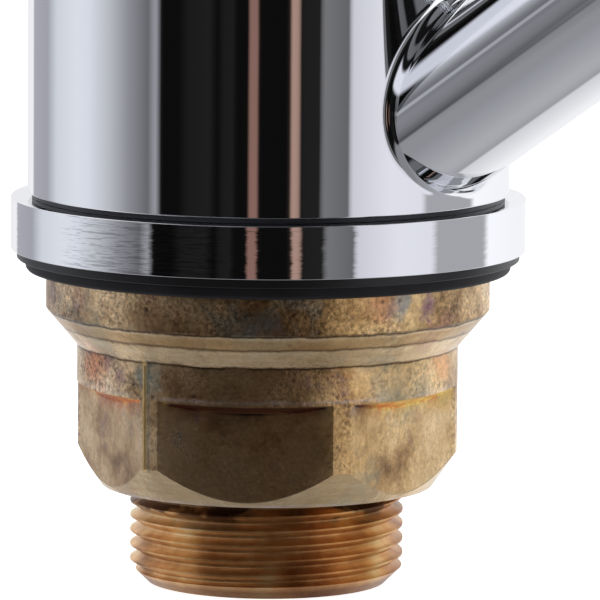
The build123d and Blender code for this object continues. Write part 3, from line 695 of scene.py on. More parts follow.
on_chamfer = put(tree, "Math", (near_chamfer, below_neck), operation="MULTIPLY")
turned = put(tree, "Math", (on_cone, on_chamfer), operation="MAXIMUM")
drawn_round = [per_mm(count) for count in (0.22, 0.22, 1.8)]
drawn_round = put(tree, "Mapping", {"Vector": place, "Scale": drawn_round})
lines = put(tree, "TexNoise", {"Vector": drawn_round, "Scale": 1, "Detail": 5})
bright = put(tree, "ValToRGB", (lines,), [(0.30, "#C2A882"), (0.68, "#DCC8A4")])
turned_share = put(tree, "MapRange", (turned, 0.0, 1.0, 0.0, 0.6))
layers.append((turned_share, bright, "MIX"))
# Painted shade: dark lines in the creases at the cone's foot and under the flange, with a darker line
# across the cone's middle and its upper half a little darker.
course_foot = -0.0100
course_top = -0.0040
cone_crease_shade_and_bands = put(tree, "MapRange", (wobble, course_foot, course_top))
cone_crease_shade_and_bands = put(
    tree, "ValToRGB", (cone_crease_shade_and_bands,),
    [
        (0.0, "#FFFFFF"), (0.16, "#F0F0F0"), (0.19, "#65564A"), (0.23, "#FFFFFF"),
        (0.49, "#FFFFFF"), (0.53, "#8E7E6C"), (0.57, "#E6DAC6"), (0.70, "#E6DAC6"),
        (0.745, "#FFFFFF"), (0.78, "#5C5048"), (0.83, "#FFFFFF"), (1.0, "#FFFFFF"),
    ],
)
layers.append((1.0, cone_crease_shade_and_bands, "MULTIPLY"))

# Under each ledge the cutter's heat left an orange oxide band, with painted light and shade over it:
# yellow at the sides, dark red and brown in front. On the ledge itself the tint also stands for a
# painted highlight.
ragged = put(tree, "MapRange", (noise["edge"], 0.3, 0.7, -0.001, 0.001))
on_flat = put(tree, "MapRange", (radius, (neck_radius - 0.15) / 1000, (neck_radius - 0.35) / 1000))
ledge_height = put(
    tree, "MapRange",
    (radius, ledge_radius / 1000, neck_radius / 1000, ledge_foot / 1000, hexagon_top / 1000),
)
ledge_gap = put(tree, "Math", (ledge_height, high), operation="SUBTRACT")
off_ledge = put(tree, "Math", (ledge_gap,), operation="ABSOLUTE")
on_ledge = put(tree, "MapRange", (off_ledge, 0.00022, 0.00012, 0.0, 0.9))
on_ledge = put(tree, "Math", (on_ledge, on_flat), operation="MULTIPLY")
# Painted light and shade over the oxide: yellower to the right, and dark red and brown on the middle
# flat.
to_side = put(tree, "MapRange", (sideways, -0.02, 0.02, -0.08, 0.16))
heat_tint_and_light = put(tree, "Math", (noise["heat"], to_side), operation="ADD")
heat_tint_and_light = put(tree, "ValToRGB", (heat_tint_and_light,), [(0.36, "#A84E28"), (0.50, "#EC8E3E"), (0.66, "#FFDB78")])
off_middle = put(tree, "Math", (sideways,), operation="ABSOLUTE")
in_middle = put(tree, "MapRange", (off_middle, 0.0115, 0.0095))
from_flat = put(tree, "Math", (radius, wobble), operation="ADD")
from_flat = put(tree, "Math", (from_flat, high), operation="SUBTRACT")
from_flat = put(tree, "MapRange", (from_flat, flat_distance / 1000, neck_radius / 1000))
heat_tint_and_shade = put(
    tree, "ValToRGB", (from_flat,),
    [
        (0.0, "#33221B"), (0.22, "#8C6444"), (0.36, "#54261A"), (0.62, "#6E3020"),
        (0.78, "#3A2620"), (1.0, "#BCA488"),
    ],
)
heat = put(tree, "Mix", {0: in_middle, 6: heat_tint_and_light, 7: heat_tint_and_shade}, data_type="RGBA")
spread = put(tree, "Math", (ledge_gap, ragged), operation="ADD")
spread = put(tree, "MapRange", (spread, 0.0016, 0.0, 0.0, 0.6))
spread = put(tree, "Math", (spread, on_flat), operation="MULTIPLY")
layers += [(spread, heat, "MIX"), (on_ledge, heat, "MIX")]

# Sand grains and pits of the mould, which the tools have taken off the flats and turned places. The
# pits are coloured dark brown, and the grains' speckle, from a fifth to 1.3 times the skin's colour,
# is partly painted light and shade.
pits = put(tree, "TexVoronoi", {"Vector": place, "Scale": per_mm(0.65)})
pits = put(tree, "MapRange", (pits, 0.24, 0.12))
pitted = put(tree, "MapRange", (noise["pits"], 0.54, 0.62))
pitted = put(tree, "Math", (pits, pitted), operation="MULTIPLY")
pitted = put(tree, "Math", (pitted, on_flat), operation="SUBTRACT", use_clamp=True)
pit_share = put(tree, "Math", (pitted, 0.7), operation="MULTIPLY")
layers.append((pit_share, "#46342A", "MIX"))
# Partly painted light and shade of the sand grains, as a speckle over the skin's colour.
grit_light_and_shade = put(tree, "MapRange", (noise["sand"], 0.36, 0.60, 0.20, 1.3))
grit_share = put(tree, "MapRange", (noise["sandy"], 0.42, 0.60, 0.35, 1.0))
for mask, left_over in ((turned, 0.25), (on_flat, 0.35)):
    kept = put(tree, "MapRange", (mask, 0.0, 1.0, 1.0, left_over))
    grit_share = put(tree, "Math", (grit_share, kept), operation="MULTIPLY")
layers.append((grit_share, grit_light_and_shade, "MULTIPLY"))

# A painted highlight in gold along the seam with a painted shade in dark teal-grey beside it, and
# painted highlights as pale lines along the edges of the hexagon and the foot.
for shift, wide, strong, code in ((0.45, 0.34, 0.4, "#52605A"), (0.0, 0.36, 0.6, "#E0BE7C")):
    along = math.sin(seam_turn) * to_camera + math.cos(seam_turn) * to_right
    line = seam + shift / 1000 * along
    gap = put(tree, "VectorMath", (flat_place, line), operation="DISTANCE")
    share = put(tree, "MapRange", (gap, wide / 1000, wide / 2000, 0.0, strong))
    layers.append((share, code, "MIX"))
edge_highlight_patches = put(tree, "MapRange", (noise["warm"], 0.4, 0.6))
edge_highlight_width = 0.0003
# Painted highlights: pale lines along the hexagon's top edge and the foot's edge, broken up in
# patches.
for level, code in ((hexagon_top + 0.35, "#CFC0B8"), (nut_foot + 0.1, "#D6CDD2")):
    gap = put(tree, "Math", (wobble, level / 1000), operation="SUBTRACT")
    gap = put(tree, "Math", (gap,), operation="ABSOLUTE")
    share = put(tree, "MapRange", (gap, edge_highlight_width, 0.0, 0.0, 0.45))
    share = put(tree, "Math", (share, edge_highlight_patches), operation="MULTIPLY")
    layers.append((share, code, "MIX"))
for share, above, kind in layers:
    skin = put(tree, "Mix", {0: share, 6: skin, 7: above}, data_type="RGBA", blend_type=kind)

# Oxide dulls the metal towards the sides, and turned places are a little more polished.
bare = put(tree, "MapRange", (off_middle, 0.008, 0.018, 0.92, 0.76))
sheen = put(tree, "MapRange", (noise["clouds"], 0.3, 0.7, 0.42, 0.24))
polish = put(tree, "Math", (turned, 0.08), operation="MULTIPLY")
sheen = put(tree, "Math", (sheen, polish), operation="SUBTRACT")
hollow = put(tree, "Math", (pitted, 0.6), operation="MULTIPLY")
skin_height = put(tree, "Math", (noise["sand"], hollow), operation="SUBTRACT")
relief = put(tree, "Bump", {"Height": skin_height, "Strength": grit_share, "Distance": 0.0001})
waves = put(
    tree, "Bump",
    {"Height": noise["patches"], "Strength": 0.5, "Distance": 0.0005, "Normal": relief},
)
feed(shader, {"Base Color": skin, "Metallic": bare, "Roughness": sheen, "Normal": waves})
dress(cast_nut, cast_brass, "nut", "cast_brass", "fixing_nut")

# The slip rings: moulded acetal, on which the body turns. The lower one is split, so that it snaps
# round the casting's neck, and its thin flange is the dark line between the base ring and the
# body. The upper one lies between the body's top edge and the cap.
slip_flange = 24.15
slip_thickness = 0.5
slip_collar = 21.95
lower_bore = 18.6
lower_foot = 4.65
lower_spigot = 21.5
lower_top = 8.9
split_width = 0.5
lower_slip = outline("lower_slip_collar", [
    (lower_bore, lower_foot), (lower_spigot, lower_foot), (lower_spigot, ring_top),
    (slip_flange, ring_top), (slip_flange, ring_top + slip_thickness),
    (slip_collar, ring_top + slip_thickness), (slip_collar, lower_top), (lower_bore, lower_top),
], closed=True)
sweep_round(lower_slip, 192)
bpy.ops.object.select_all(action="DESELECT")
bpy.ops.mesh.primitive_cube_add(
    size=1, location=(-0.02, 0, 0.007), scale=(0.02, split_width / 1000, 0.01),
)
combine(lower_slip, bpy.context.active_object, "DIFFERENCE")
soften(lower_slip, 0.08)
upper_bore = 21.55
upper_foot = 90.61
upper_seat = 92.81
upper_top = 93.31
upper_slip = outline("upper_slip_collar", [
    (upper_bore, upper_foot), (slip_collar, upper_foot), (slip_collar, upper_seat),
    (slip_flange, upper_seat), (slip_flange, upper_top), (upper_bore, upper_top),
], closed=True)
sweep_round(upper_slip, 192)
soften(upper_slip, 0.06)

# Moulded acetal: dark slate grey and waxy, with a skin grain of two thirds of a millimetre.
slip_plastic, tree, shader, place = begin("moulded_grey_acetal")
grain = put(tree, "TexNoise", {"Vector": place, "Scale": per_mm(1.5), "Detail": 2})
relief = put(tree, "Bump", {"Height": grain, "Strength": 0.2, "Distance": 0.00002})
feed(shader, {
    "Base Color": "#2A2B31", "Roughness": 0.4, "Specular IOR Level": 0.5, "Normal": relief,
})
dress(lower_slip, slip_plastic, "base", "acetal", "lower_slip_ring")
dress(upper_slip, slip_plastic, "base", "acetal", "upper_slip_ring")

# The swivelling body: one brass casting, sleeve and spout, polished and chrome plated. The spout
# leaves the sleeve just above its foot, rises in a straight line and bends down to its outlet,
# and a small fillet runs round its root.
body_radius = 24.6
bore_radius = 22.0
sleeve_foot = 6.78
sleeve_head = 92.78
edge_round = 0.14
spout_rise = math.radians(33.6)
axis_height = 1.3
start_x = 18.15
root_half_width = 9.5
root_half_thickness = 7.7
tube_half_width = 10.5
tube_half_thickness = 9.2
bend_radius = 24.0
reach = 215.0
bend_start_x = reach - bend_radius * (1 + math.sin(spout_rise))
bend_start_z = axis_height + bend_start_x * math.tan(spout_rise)
bend_middle_z = bend_start_z - bend_radius * math.cos(spout_rise)
run = (bend_start_x - start_x) / math.cos(spout_rise)
bend_turn = math.pi / 2 + spout_rise
root_fillet = 1.5
outlet_radius = 13.6
outlet_height = bend_middle_z - 7.0
outlet_round = 0.8
outlet_bore = 12.05
outlet_depth = 8.0
waterway_radius = 3.0


def spout_point(t, s):
    """A point on the spout: t goes round its oval section, s is the way along it in millimetres."""
    if s < run:
        heading = spout_rise
        x = start_x + s * math.cos(heading)
        z = axis_height + start_x * math.tan(heading) + s * math.sin(heading)
        share = s / run
        wide = root_half_width + (tube_half_width - root_half_width) * share
        thick = root_half_thickness + (tube_half_thickness - root_half_thickness) * share
    else:
        share = min((s - run) / (bend_radius * bend_turn), 1.0)
        heading = spout_rise - bend_turn * share
        x = reach - bend_radius - bend_radius * math.sin(heading)
        z = bend_middle_z + bend_radius * math.cos(heading)
        swell = share * share * (3 - 2 * share)
        wide = tube_half_width + (outlet_radius - tube_half_width) * swell
        thick = tube_half_thickness + (outlet_radius - tube_half_thickness) * swell
    lift = thick * math.sin(t)
    return Vector((x - lift * math.sin(heading), wide * math.cos(t), z + lift * math.cos(heading)))


def spout_normal(t, s):
    """Which way the spout's skin faces at that point."""
    round_it = spout_point(t + 0.001, s) - spout_point(t - 0.001, s)
    along_it = spout_point(t, s + 0.05) - spout_point(t, s - 0.05)
    return round_it.cross(along_it).normalized()


def fillet_seat(t):
    """Where a ball of the fillet's radius rests against both spout and sleeve: its middle and s."""
    low, high = 0.0, 40.0
    for i in range(40):
        s = (low + high) / 2
        middle = spout_point(t, s) + root_fillet * spout_normal(t, s)
        if math.hypot(middle.x, middle.y) < body_radius + root_fillet:
            low = s
        else:
            high = s
    return middle, s


class Skin:
    """A surface laid ring by ring, with the exact direction of its face kept at each point."""

    def __init__(self):
        self.points = []
        self.faces = []
        self.corners = []

    def ring(self, points, facing):
        """Adds the points of one ring, in millimetres, and returns their numbers and facings."""
        first = len(self.points)
        self.points += [(p[0] / 1000, p[1] / 1000, p[2] / 1000) for p in points]
        return list(range(first, first + len(points))), [tuple(f) for f in facing]

    def face(self, *corners):
        """Adds a face whose corners are each a point's number and its facing."""
        self.faces.append([index for index, facing in corners])
        self.corners += [facing for index, facing in corners]

    def join(self, lower, upper):
        """Fills the band between two rings with faces."""
        a, b = list(zip(*lower)), list(zip(*upper))
        for i in range(len(a)):
            j = (i + 1) % len(a)
            self.face(a[i], a[j], b[j], b[i])

    def carry(self, previous, points, facing):
        """Adds a ring, joins it to the one before, and returns it."""
        current = self.ring(points, facing)
        self.join(previous, current)
        return current

    def turn(self, previous, profile, turns, centre=0.0, downward=False):
        """Carries a profile round an axis from a first ring, and returns its last ring.

        The profile gives each ring's radius, its level, and how it faces before and after it.
        """
        for radius, level, before, after in profile:
            points = [(centre + radius * a, radius * b, level) for a, b in turns]
            arriving, leaving = [
                [(facing[0] * a, facing[0] * b, facing[1]) for a, b in turns]
                for facing in (before, after)
            ]
            current = self.ring(points, arriving)
            self.join(*((current, previous) if downward else (previous, current)))
            previous = current[0], leaving
        return previous

    def finish(self, name):
        """Makes the object, with its kept facings as its normals."""
        mesh = bpy.data.meshes.new(name)
        mesh.from_pydata(self.points, [], self.faces)
        made = bpy.data.objects.new(name, mesh)
        bpy.context.scene.collection.objects.link(made)
        only(made)
        mesh.shade_smooth()
        mesh.normals_split_custom_set(self.corners)
        return made


# The sleeve is laid in columns round it. In front of the spout a square patch is left out, and
# rings from the patch's edge to the spout's fillet fill it.
columns = 240
step = 2 * math.pi / columns
half_patch = 22
patch_rows = 28
patch_low = sleeve_foot + edge_round
patch_high = 36.0
patch_middle = 18.6
levels = [patch_low + (patch_high - patch_low) * i / patch_rows for i in range(patch_rows + 1)]
edge = [(half_patch, j) for j in range(0, patch_rows)]
edge += [(i, patch_rows) for i in range(half_patch, -half_patch, -1)]
edge += [(-half_patch, j) for j in range(patch_rows, 0, -1)]
edge += [(i, 0) for i in range(-half_patch, half_patch)]

seat_count = 720
seats = []
for i in range(seat_count):
    t = -math.pi + 2 * math.pi * i / seat_count
    middle, s = fillet_seat(t)
    turned_by = math.atan2(middle.y, middle.x)
    seats.append((math.atan2(middle.z - patch_middle, turned_by * body_radius), t))
seats.sort()


def seat_angle(aim):
    """The section angle whose seat lies in the direction aim, seen on the unrolled sleeve."""
    before = seats[-1][0] - 2 * math.pi, seats[-1][1]
    for now in seats + [(seats[0][0] + 2 * math.pi, seats[0][1])]:
        if now[0] >= aim:
            gap = (now[1] - before[1] + math.pi) % (2 * math.pi) - math.pi
            share = (aim - before[0]) / max(now[0] - before[0], 1e-9)
            return before[1] + gap * share
        before = now
    return before[1]


def column(i):
    """A column's number, counted both ways from the spout."""
    i %= columns
    return i if i <= columns // 2 else i - columns


skin = Skin()
rows = []
for j, level in enumerate(levels):
    row = {}
    for i in range(columns):
        k = column(i)
        if abs(k) < half_patch and 0 < j < patch_rows:
            continue
        out = (math.cos(i * step), math.sin(i * step), 0)
        index, facing = skin.ring([(body_radius * out[0], body_radius * out[1], level)], [out])
        row[k] = (index[0], facing[0])
    rows.append(row)
for j in range(patch_rows):
    for i in range(columns):
        k, n = column(i), column(i + 1)
        if -half_patch <= k < half_patch:
            continue
        skin.face(rows[j][k], rows[j][n], rows[j + 1][n], rows[j + 1][k])
rim = list(zip(*[rows[j][k] for k, j in edge]))

angles = []
for k, j in edge:
    angles.append(seat_angle(math.atan2(levels[j] - patch_middle, k * step * body_radius)))
seated = [fillet_seat(t) for t in angles]
patch_steps = 8
previous = rim
for m in range(1, patch_steps + 1):
    share = m / patch_steps
    points = []
    facing = []
    for (k, j), (middle, s) in zip(edge, seated):
        side = math.atan2(middle.y, middle.x) * share + k * step * (1 - share)
        level = middle.z * share + levels[j] * (1 - share)
        points.append((body_radius * math.cos(side), body_radius * math.sin(side), level))
        facing.append((math.cos(side), math.sin(side), 0))
    previous = skin.carry(previous, points, facing)

# The fillet rolls over from the sleeve to the spout, and the spout's rings run on to its outlet.
fillet_steps = 10
for m in range(1, fillet_steps + 1):
    share = m / fillet_steps
    points = []
    facing = []
    for t, (middle, s) in zip(angles, seated):
        to_sleeve = Vector((-middle.x, -middle.y, 0)).normalized()
        arm = to_sleeve.slerp(-spout_normal(t, s), share)
        points.append(middle + root_fillet * arm)
        facing.append(-arm)
    previous = skin.carry(previous, points, facing)
whole = run + bend_radius * bend_turn
straight_steps = 24
bend_steps = 40
for m in range(1, straight_steps + bend_steps + 1):
    points = []
    facing = []
    for t, (middle, s) in zip(angles, seated):
        if m <= straight_steps:
            way = s + (run - s) * (m / straight_steps)
        else:
            way = run + (whole - run) * (m - straight_steps) / bend_steps
        points.append(spout_point(t, way))
        facing.append(spout_normal(t, min(way, whole - 0.06)))
    previous = skin.carry(previous, points, facing)


def broken_edge(radius, level, rounding, side, steps=6):
    """A rounded outer edge as a profile, from the wall to the end face above (1) or below (-1)."""
    profile = []
    for i in range(steps + 1):
        tilt = math.pi / 2 * i / steps
        facing = (math.cos(tilt), side * math.sin(tilt))
        inset = rounding * (1 - math.cos(tilt))
        drop = rounding * (1 - math.sin(tilt))
        profile.append((radius - inset, level - side * drop, facing, facing))
    return profile


# The outlet's foot, and the bore that takes the aerator.
outlet_turns = [(math.sin(t), math.cos(t)) for t in angles]
outlet_profile = broken_edge(outlet_radius, outlet_height, outlet_round, -1) + [
    (outlet_bore, outlet_height, (0, -1), (-1, 0)),
    (outlet_bore, outlet_height + outlet_depth, (-1, 0), (0, -1)),
    (waterway_radius, outlet_height + outlet_depth, (0, -1), (0, -1)),
]
previous = skin.turn(previous, outlet_profile, outlet_turns, centre=reach)
skin.face(*zip(*previous))

# The sleeve's head and foot are turned alike, with broken edges, and its bore joins them.
sleeve_turns = [(math.cos(i * step), math.sin(i * step)) for i in range(columns)]
head_profile = broken_edge(body_radius, sleeve_head, edge_round, 1)
head_profile.append((bore_radius, sleeve_head, (0, 1), (-1, 0)))
foot_profile = broken_edge(body_radius, sleeve_foot, edge_round, -1)[1:]
foot_profile.append((bore_radius, sleeve_foot, (0, -1), (-1, 0)))
ends = []
for row, profile, downward in ((rows[-1], head_profile, False), (rows[0], foot_profile, True)):
    start = list(zip(*[row[column(i)] for i in range(columns)]))
    ends.append(skin.turn(start, profile, sleeve_turns, downward=downward))
skin.join(ends[0], ends[1])
body = skin.finish("chromed_body")

# Cast, polished and plated: a cool, deep mirror without any tool marks, only faint smears.
chrome = plated("polished_chrome_plate", 0.0)
dress(body, chrome, "spout", "chromed_brass", "swivel_body")

# The aerator's sleeve: turned brass, chromed, screwed up into the spout's head. Only its rim
# shows, and a lip inside its foot holds the insert.
rim_foot = 88.99
rim_radius = 12.8
rim_lip = 0.8
rim_top = 92.39
thread_outside = 12.0
aerator_top = 99.19
insert_radius = 10.1
lip_bore = 9.0
rounded = []
for degrees in (0, 22.5, 45, 67.5, 90):
    lean = math.radians(degrees)
    rounded.append((
        thread_outside + rim_lip * math.sin(lean), rim_foot + rim_lip * (1 - math.cos(lean)),
    ))
aerator = outline("chromed_aerator_sleeve", [
    (lip_bore, rim_foot), *rounded, (rim_radius, rim_top), (thread_outside, rim_top),
    (thread_outside, aerator_top), (insert_radius, aerator_top), (insert_radius, rim_foot + rim_lip),
    (lip_bore, rim_foot + rim_lip),
], closed=True)
sweep_round(aerator, 96)
bpy.ops.transform.translate(value=(reach / 1000, 0, 0))
bpy.ops.object.transform_apply()
soften(aerator, 0.1)
dress(aerator, turned_chrome, "spout", "chromed_brass", "aerator_housing")

# The dome cap: brass, spun and chromed, screwed on over the cartridge. Half a ball about the
# lever's pivot, with a round hole in its crown for the stem.
pivot_height = 97.0
dome_radius = 24.6
dome_bore = 22.1
hole_radius = 13.5
cap_foot = upper_top
cap_bore = 21.6
cap_chamfer = 0.3
dome_outline = [
    (cap_bore, cap_foot), (dome_radius - cap_chamfer, cap_foot), (dome_radius, cap_foot + cap_chamfer),
]
for i in range(19):
    lift = math.radians(3 * i)
    dome_outline.append((dome_radius * math.cos(lift), pivot_height + dome_radius * math.sin(lift)))
dome_outline.append((hole_radius, pivot_height + math.sqrt(dome_radius ** 2 - hole_radius ** 2)))
dome_outline.append((hole_radius, pivot_height + math.sqrt(dome_bore ** 2 - hole_radius ** 2)))
for i in range(17, -1, -1):
    lift = math.radians(3 * i)
    dome_outline.append((dome_bore * math.cos(lift), pivot_height + dome_bore * math.sin(lift)))
dome_outline.append((cap_bore, pivot_height))
dome = outline("chromed_dome_cap", dome_outline, closed=True)
sweep_round(dome, 192)
soften(dome, 0.2, limit=40)
dress(dome, turned_chrome, "base", "chromed_brass", "dome_cap")

# The lever: cast zinc, polished and chromed. A hood runs over the dome, a boss inside it grips
# the stem, and a flat blade grows out of its crown through a fillet and rises to a round tip.
hood_radius = 28.2
hood_bore = 25.0
rim_height = 8.55
rim_round = 0.7
blade_tail = -12.0
blade_shoulder = 20.0
blade_climb = math.tan(math.radians(6))
tail_top = 23.76
tail_width = 17.0
tail_thickness = 4.5
shoulder_width = 27.0
shoulder_thickness = 7.6
width_taper = -0.051
thickness_taper = -0.0306
corner_round = 2.2
tip_centre = 107.0
tip_length = 11.0
blade_fillet = 2.5
hood_lean = math.radians(23)
closed_lean = math.radians(12.5)
corner_steps = 8
bore_steps = 24
rim_steps = 6
hood_steps = 24
root_steps = 8
even_steps = 12
blade_steps = 24
tip_steps = 16


def eased(x, tail, shoulder, slope):
    """A size that eases from the blade's tail to its shoulder and has the blade's slope there."""
    length = blade_shoulder - blade_tail
    share = (x - blade_tail) / length
    bend = slope * length - (shoulder - tail)
    return tail + (2 * (shoulder - tail) - slope * length) * share + bend * share * share


def blade_size(x):
    """Top line, width and thickness of the blade at a place along it."""
    past = x - blade_shoulder
    if past >= 0:
        top = hood_radius + x * blade_climb
        return top, shoulder_width + width_taper * past, shoulder_thickness + thickness_taper * past
    top = eased(x, tail_top, hood_radius + blade_shoulder * blade_climb, blade_climb)
    width = eased(x, tail_width, shoulder_width, width_taper)
    return top, width, eased(x, tail_thickness, shoulder_thickness, thickness_taper)


def section_turns():
    """Places round a section: a corner, or a share of a flat, each with the way it faces."""
    turns = []
    for quarter, flat_steps in enumerate((40, 12, 40, 12)):
        start = math.pi / 2 * (1 - quarter)
        ends = ((1, 1), (1, -1), (-1, -1), (-1, 1))
        before, after = ends[quarter - 1], ends[quarter]
        for i in range(flat_steps):
            share = i / flat_steps
            across_it = before[0] + (after[0] - before[0]) * share
            up_it = before[1] + (after[1] - before[1]) * share
            turns.append((across_it, up_it, start))
        for i in range(corner_steps):
            turns.append((after[0], after[1], start - math.pi / 2 * i / corner_steps))
    return turns


def blade_point(turn, x):
    """A point on the blade's skin."""
    top, width, thickness = blade_size(x)
    rounding = min(corner_round, thickness * 0.45)
    y = turn[0] * (width / 2 - rounding) + rounding * math.cos(turn[2])
    z = turn[1] * (thickness / 2 - rounding) + rounding * math.sin(turn[2])
    return Vector((x, y, top - thickness / 2 + z))


def blade_facing(turn, x):
    """Which way the blade's skin faces there."""
    round_it = Vector((0, math.sin(turn[2]), -math.cos(turn[2])))
    along_it = blade_point(turn, x + 0.05) - blade_point(turn, x - 0.05)
    return along_it.cross(round_it).normalized()


def blade_seat(turn):
    """Where a ball of the fillet's radius rests against blade and hood: its middle and x."""
    low, high = blade_tail, 40.0
    for i in range(40):
        x = (low + high) / 2
        middle = blade_point(turn, x) + blade_fillet * blade_facing(turn, x)
        if middle.length < hood_radius + blade_fillet:
            low = x
        else:
            high = x
    return middle, x


turns = section_turns()
seated = [blade_seat(turn) for turn in turns]
axis = Vector((math.sin(hood_lean), 0, math.cos(hood_lean)))
rim_lift = (rim_height + rim_round) / (hood_radius - rim_round)
rays = []
for middle, x in seated:
    seat = middle.normalized()
    heading = (seat - seat.dot(axis) * axis).normalized()
    near = math.acos(seat.dot(axis))
    far = math.atan2(heading.z, axis.z) + math.acos(rim_lift / math.hypot(axis.z, heading.z))
    rays.append((heading, near, far))
lift_up = pivot_height * upward
azimuths = []
for heading, near, far in rays:
    low_point = math.cos(far) * axis + math.sin(far) * heading
    azimuths.append(Vector((low_point.x, low_point.y, 0)).normalized())
rim_circle = math.sqrt((hood_radius - rim_round) ** 2 - (rim_height + rim_round) ** 2)
bore_tilt = math.acos(rim_height / hood_bore)

# The lever's rings, each with its points and how it faces before and after it: up the hood's bore
# and round its rim, over the hood, up the fillet, along the blade and round its tip.
rings = []
for m in range(1, bore_steps + 1):
    tilt = bore_tilt * m / (bore_steps + 0.5)
    facing = [-math.sin(tilt) * a - math.cos(tilt) * upward for a in azimuths]
    rings.append(([lift_up - hood_bore * f for f in facing], facing, facing))
bore_facing = [-math.sin(bore_tilt) * a - math.cos(bore_tilt) * upward for a in azimuths]
down = [-upward] * len(turns)
rings.append(([lift_up - hood_bore * f for f in bore_facing], bore_facing, down))
low_tilt = math.atan2(rim_height + rim_round, rim_circle)
for m in range(rim_steps + 1):
    tilt = -math.pi / 2 + (low_tilt + math.pi / 2) * m / rim_steps
    facing = [math.cos(tilt) * a + math.sin(tilt) * upward for a in azimuths]
    centres = [rim_circle * a + (rim_height + rim_round) * upward for a in azimuths]
    rings.append(([lift_up + c + rim_round * f for c, f in zip(centres, facing)], facing, facing))
for m in range(1, hood_steps + 1):
    share = m / hood_steps
    facing = []
    for heading, near, far in rays:
        tilt = far + (near - far) * share
        facing.append(math.cos(tilt) * axis + math.sin(tilt) * heading)
    rings.append(([lift_up + hood_radius * f for f in facing], facing, facing))
for m in range(1, root_steps + 1):
    points, facing = [], []
    for turn, (middle, x) in zip(turns, seated):
        arm = (-middle.normalized()).slerp(-blade_facing(turn, x), m / root_steps)
        points.append(lift_up + middle + blade_fillet * arm)
        facing.append(-arm)
    rings.append((points, facing, facing))
evened = 26
for m in range(1, even_steps + blade_steps + 1):
    points, facing = [], []
    for turn, (middle, x) in zip(turns, seated):
        if m <= even_steps:
            along = x + (evened - x) * m / even_steps
        else:
            along = evened + (tip_centre - evened) * (m - even_steps) / blade_steps
        points.append(lift_up + blade_point(turn, along))
        facing.append(blade_facing(turn, along))
    rings.append((points, facing, facing))
tip_ends = [(blade_point(turn, tip_centre), blade_facing(turn, tip_centre)) for turn in turns]
squeeze = tip_length / (blade_size(tip_centre)[1] / 2)
for m in range(1, tip_steps + 1):
    swing = math.pi / 2 * m / tip_steps
    points, facing = [], []
    for end, out in tip_ends:
        ahead = abs(end.y) * math.sin(swing) * squeeze
        point = Vector((tip_centre + ahead, end.y * math.cos(swing), end.z + ahead * blade_climb))
        points.append(lift_up + point)
        outward = abs(out.y)
        tilted = Vector((
            outward * math.sin(swing) / squeeze - blade_climb * out.z,
            out.y * math.cos(swing),
            out.z,
        ))
        facing.append(tilted.normalized())
    rings.append((points, facing, facing))
lever_skin = Skin()
previous = None
for points, arriving, leaving in rings:
    index, facing = lever_skin.ring(points, arriving)
    if previous:
        lever_skin.join(previous, (index, facing))
    else:
        lever_skin.face(*list(zip(index, facing))[::-1])
    previous = index, [tuple(f) for f in leaving]
lever = lever_skin.finish("chromed_lever")
bpy.ops.object.mode_set(mode="EDIT")
bpy.ops.mesh.select_all(action="SELECT")
bpy.ops.mesh.remove_doubles(threshold=0.000002)
bpy.ops.mesh.customdata_custom_splitnormals_clear()
bpy.ops.mesh.normals_make_consistent(inside=False)
bpy.ops.object.mode_set(mode="OBJECT")


def leaning_tool(kind, low, high, size, crosswise=False):
    """A round or square tool on the leaning stem's line, or across it, between two distances."""
    bpy.ops.object.select_all(action="DESELECT")
    length = (high - low) / 1000
    if kind == "round":
        bpy.ops.mesh.primitive_cylinder_add(vertices=64, radius=size[0] / 1000, depth=length)
    else:
        bpy.ops.mesh.primitive_cube_add(size=1, scale=(size[0] / 1000, size[1] / 1000, length))
        bpy.ops.object.transform_apply()
    tool = bpy.context.active_object
    bpy.ops.transform.translate(value=(0, 0, (high + low) / 2000))
    if crosswise:
        bpy.ops.transform.rotate(value=-math.pi / 2, orient_axis="Y", center_override=(0, 0, 0))
        bpy.ops.transform.translate(value=(0, 0, 0.020))
    bpy.ops.transform.rotate(value=-closed_lean, orient_axis="Y", center_override=(0, 0, 0))
    bpy.ops.transform.translate(value=(0, 0, pivot_height / 1000))
    bpy.ops.object.transform_apply()
    return tool


# The boss, its socket for the stem's square, the screw's hole and the wider one for the plug.
boss_foot = 16.5
boss_radius = 7.5
socket = (7.1, 6.1)
socket_head = 24.2
screw_radius = 2.5
plug_radius = 3.55
plug_seat = 7.6
combine(lever, leaning_tool("round", boss_foot, 26.6, (boss_radius,)), "UNION")
combine(lever, leaning_tool("square", boss_foot - 0.1, socket_head, socket), "DIFFERENCE")
combine(lever, leaning_tool("round", 0, 15, (screw_radius,), crosswise=True), "DIFFERENCE")
combine(lever, leaning_tool("round", plug_seat, 30, (plug_radius,), crosswise=True), "DIFFERENCE")
smooth_faces(lever)

# The zinc is polished as smooth before it is plated, and shines as coolly as the body.
zinc_chrome = plated("chromed_zinc_casting", 0.0)
dress(lever, zinc_chrome, "lever", "chromed_zinc", "lever_handle")

# The indicator plug: moulded plastic pressed into the screw's way, half of it red for hot and
# half blue for cold. Glossy and even, with a sharp line between the halves.


def coat(finish, *names):
    """Gives pieces that stay as they are their one finish."""
    for name in names:
        nodes[name].data.materials.clear()
        nodes[name].data.materials.append(finish)


plug_plastic, tree, shader, place = begin("red_and_blue_plastic")
leftward = put(tree, "SeparateXYZ", (place,)).outputs["Y"]
cold_half = put(tree, "MapRange", (leftward, -0.0001, 0.0001))
halves = put(tree, "Mix", {0: cold_half, 6: "#B3141C", 7: "#1546A8"}, data_type="RGBA")
feed(shader, {"Base Color": halves, "Roughness": 0.22})
coat(plug_plastic, "indicator_plug")

# The rubber seals: moulded rings in the casting's grooves, the cartridge's foot and the spout's
# end. They are of the same black rubber as the gasket.
coat(gasket_rubber, "lower_spout_seal", "upper_spout_seal", "cartridge_base_seals", "aerator_washer")

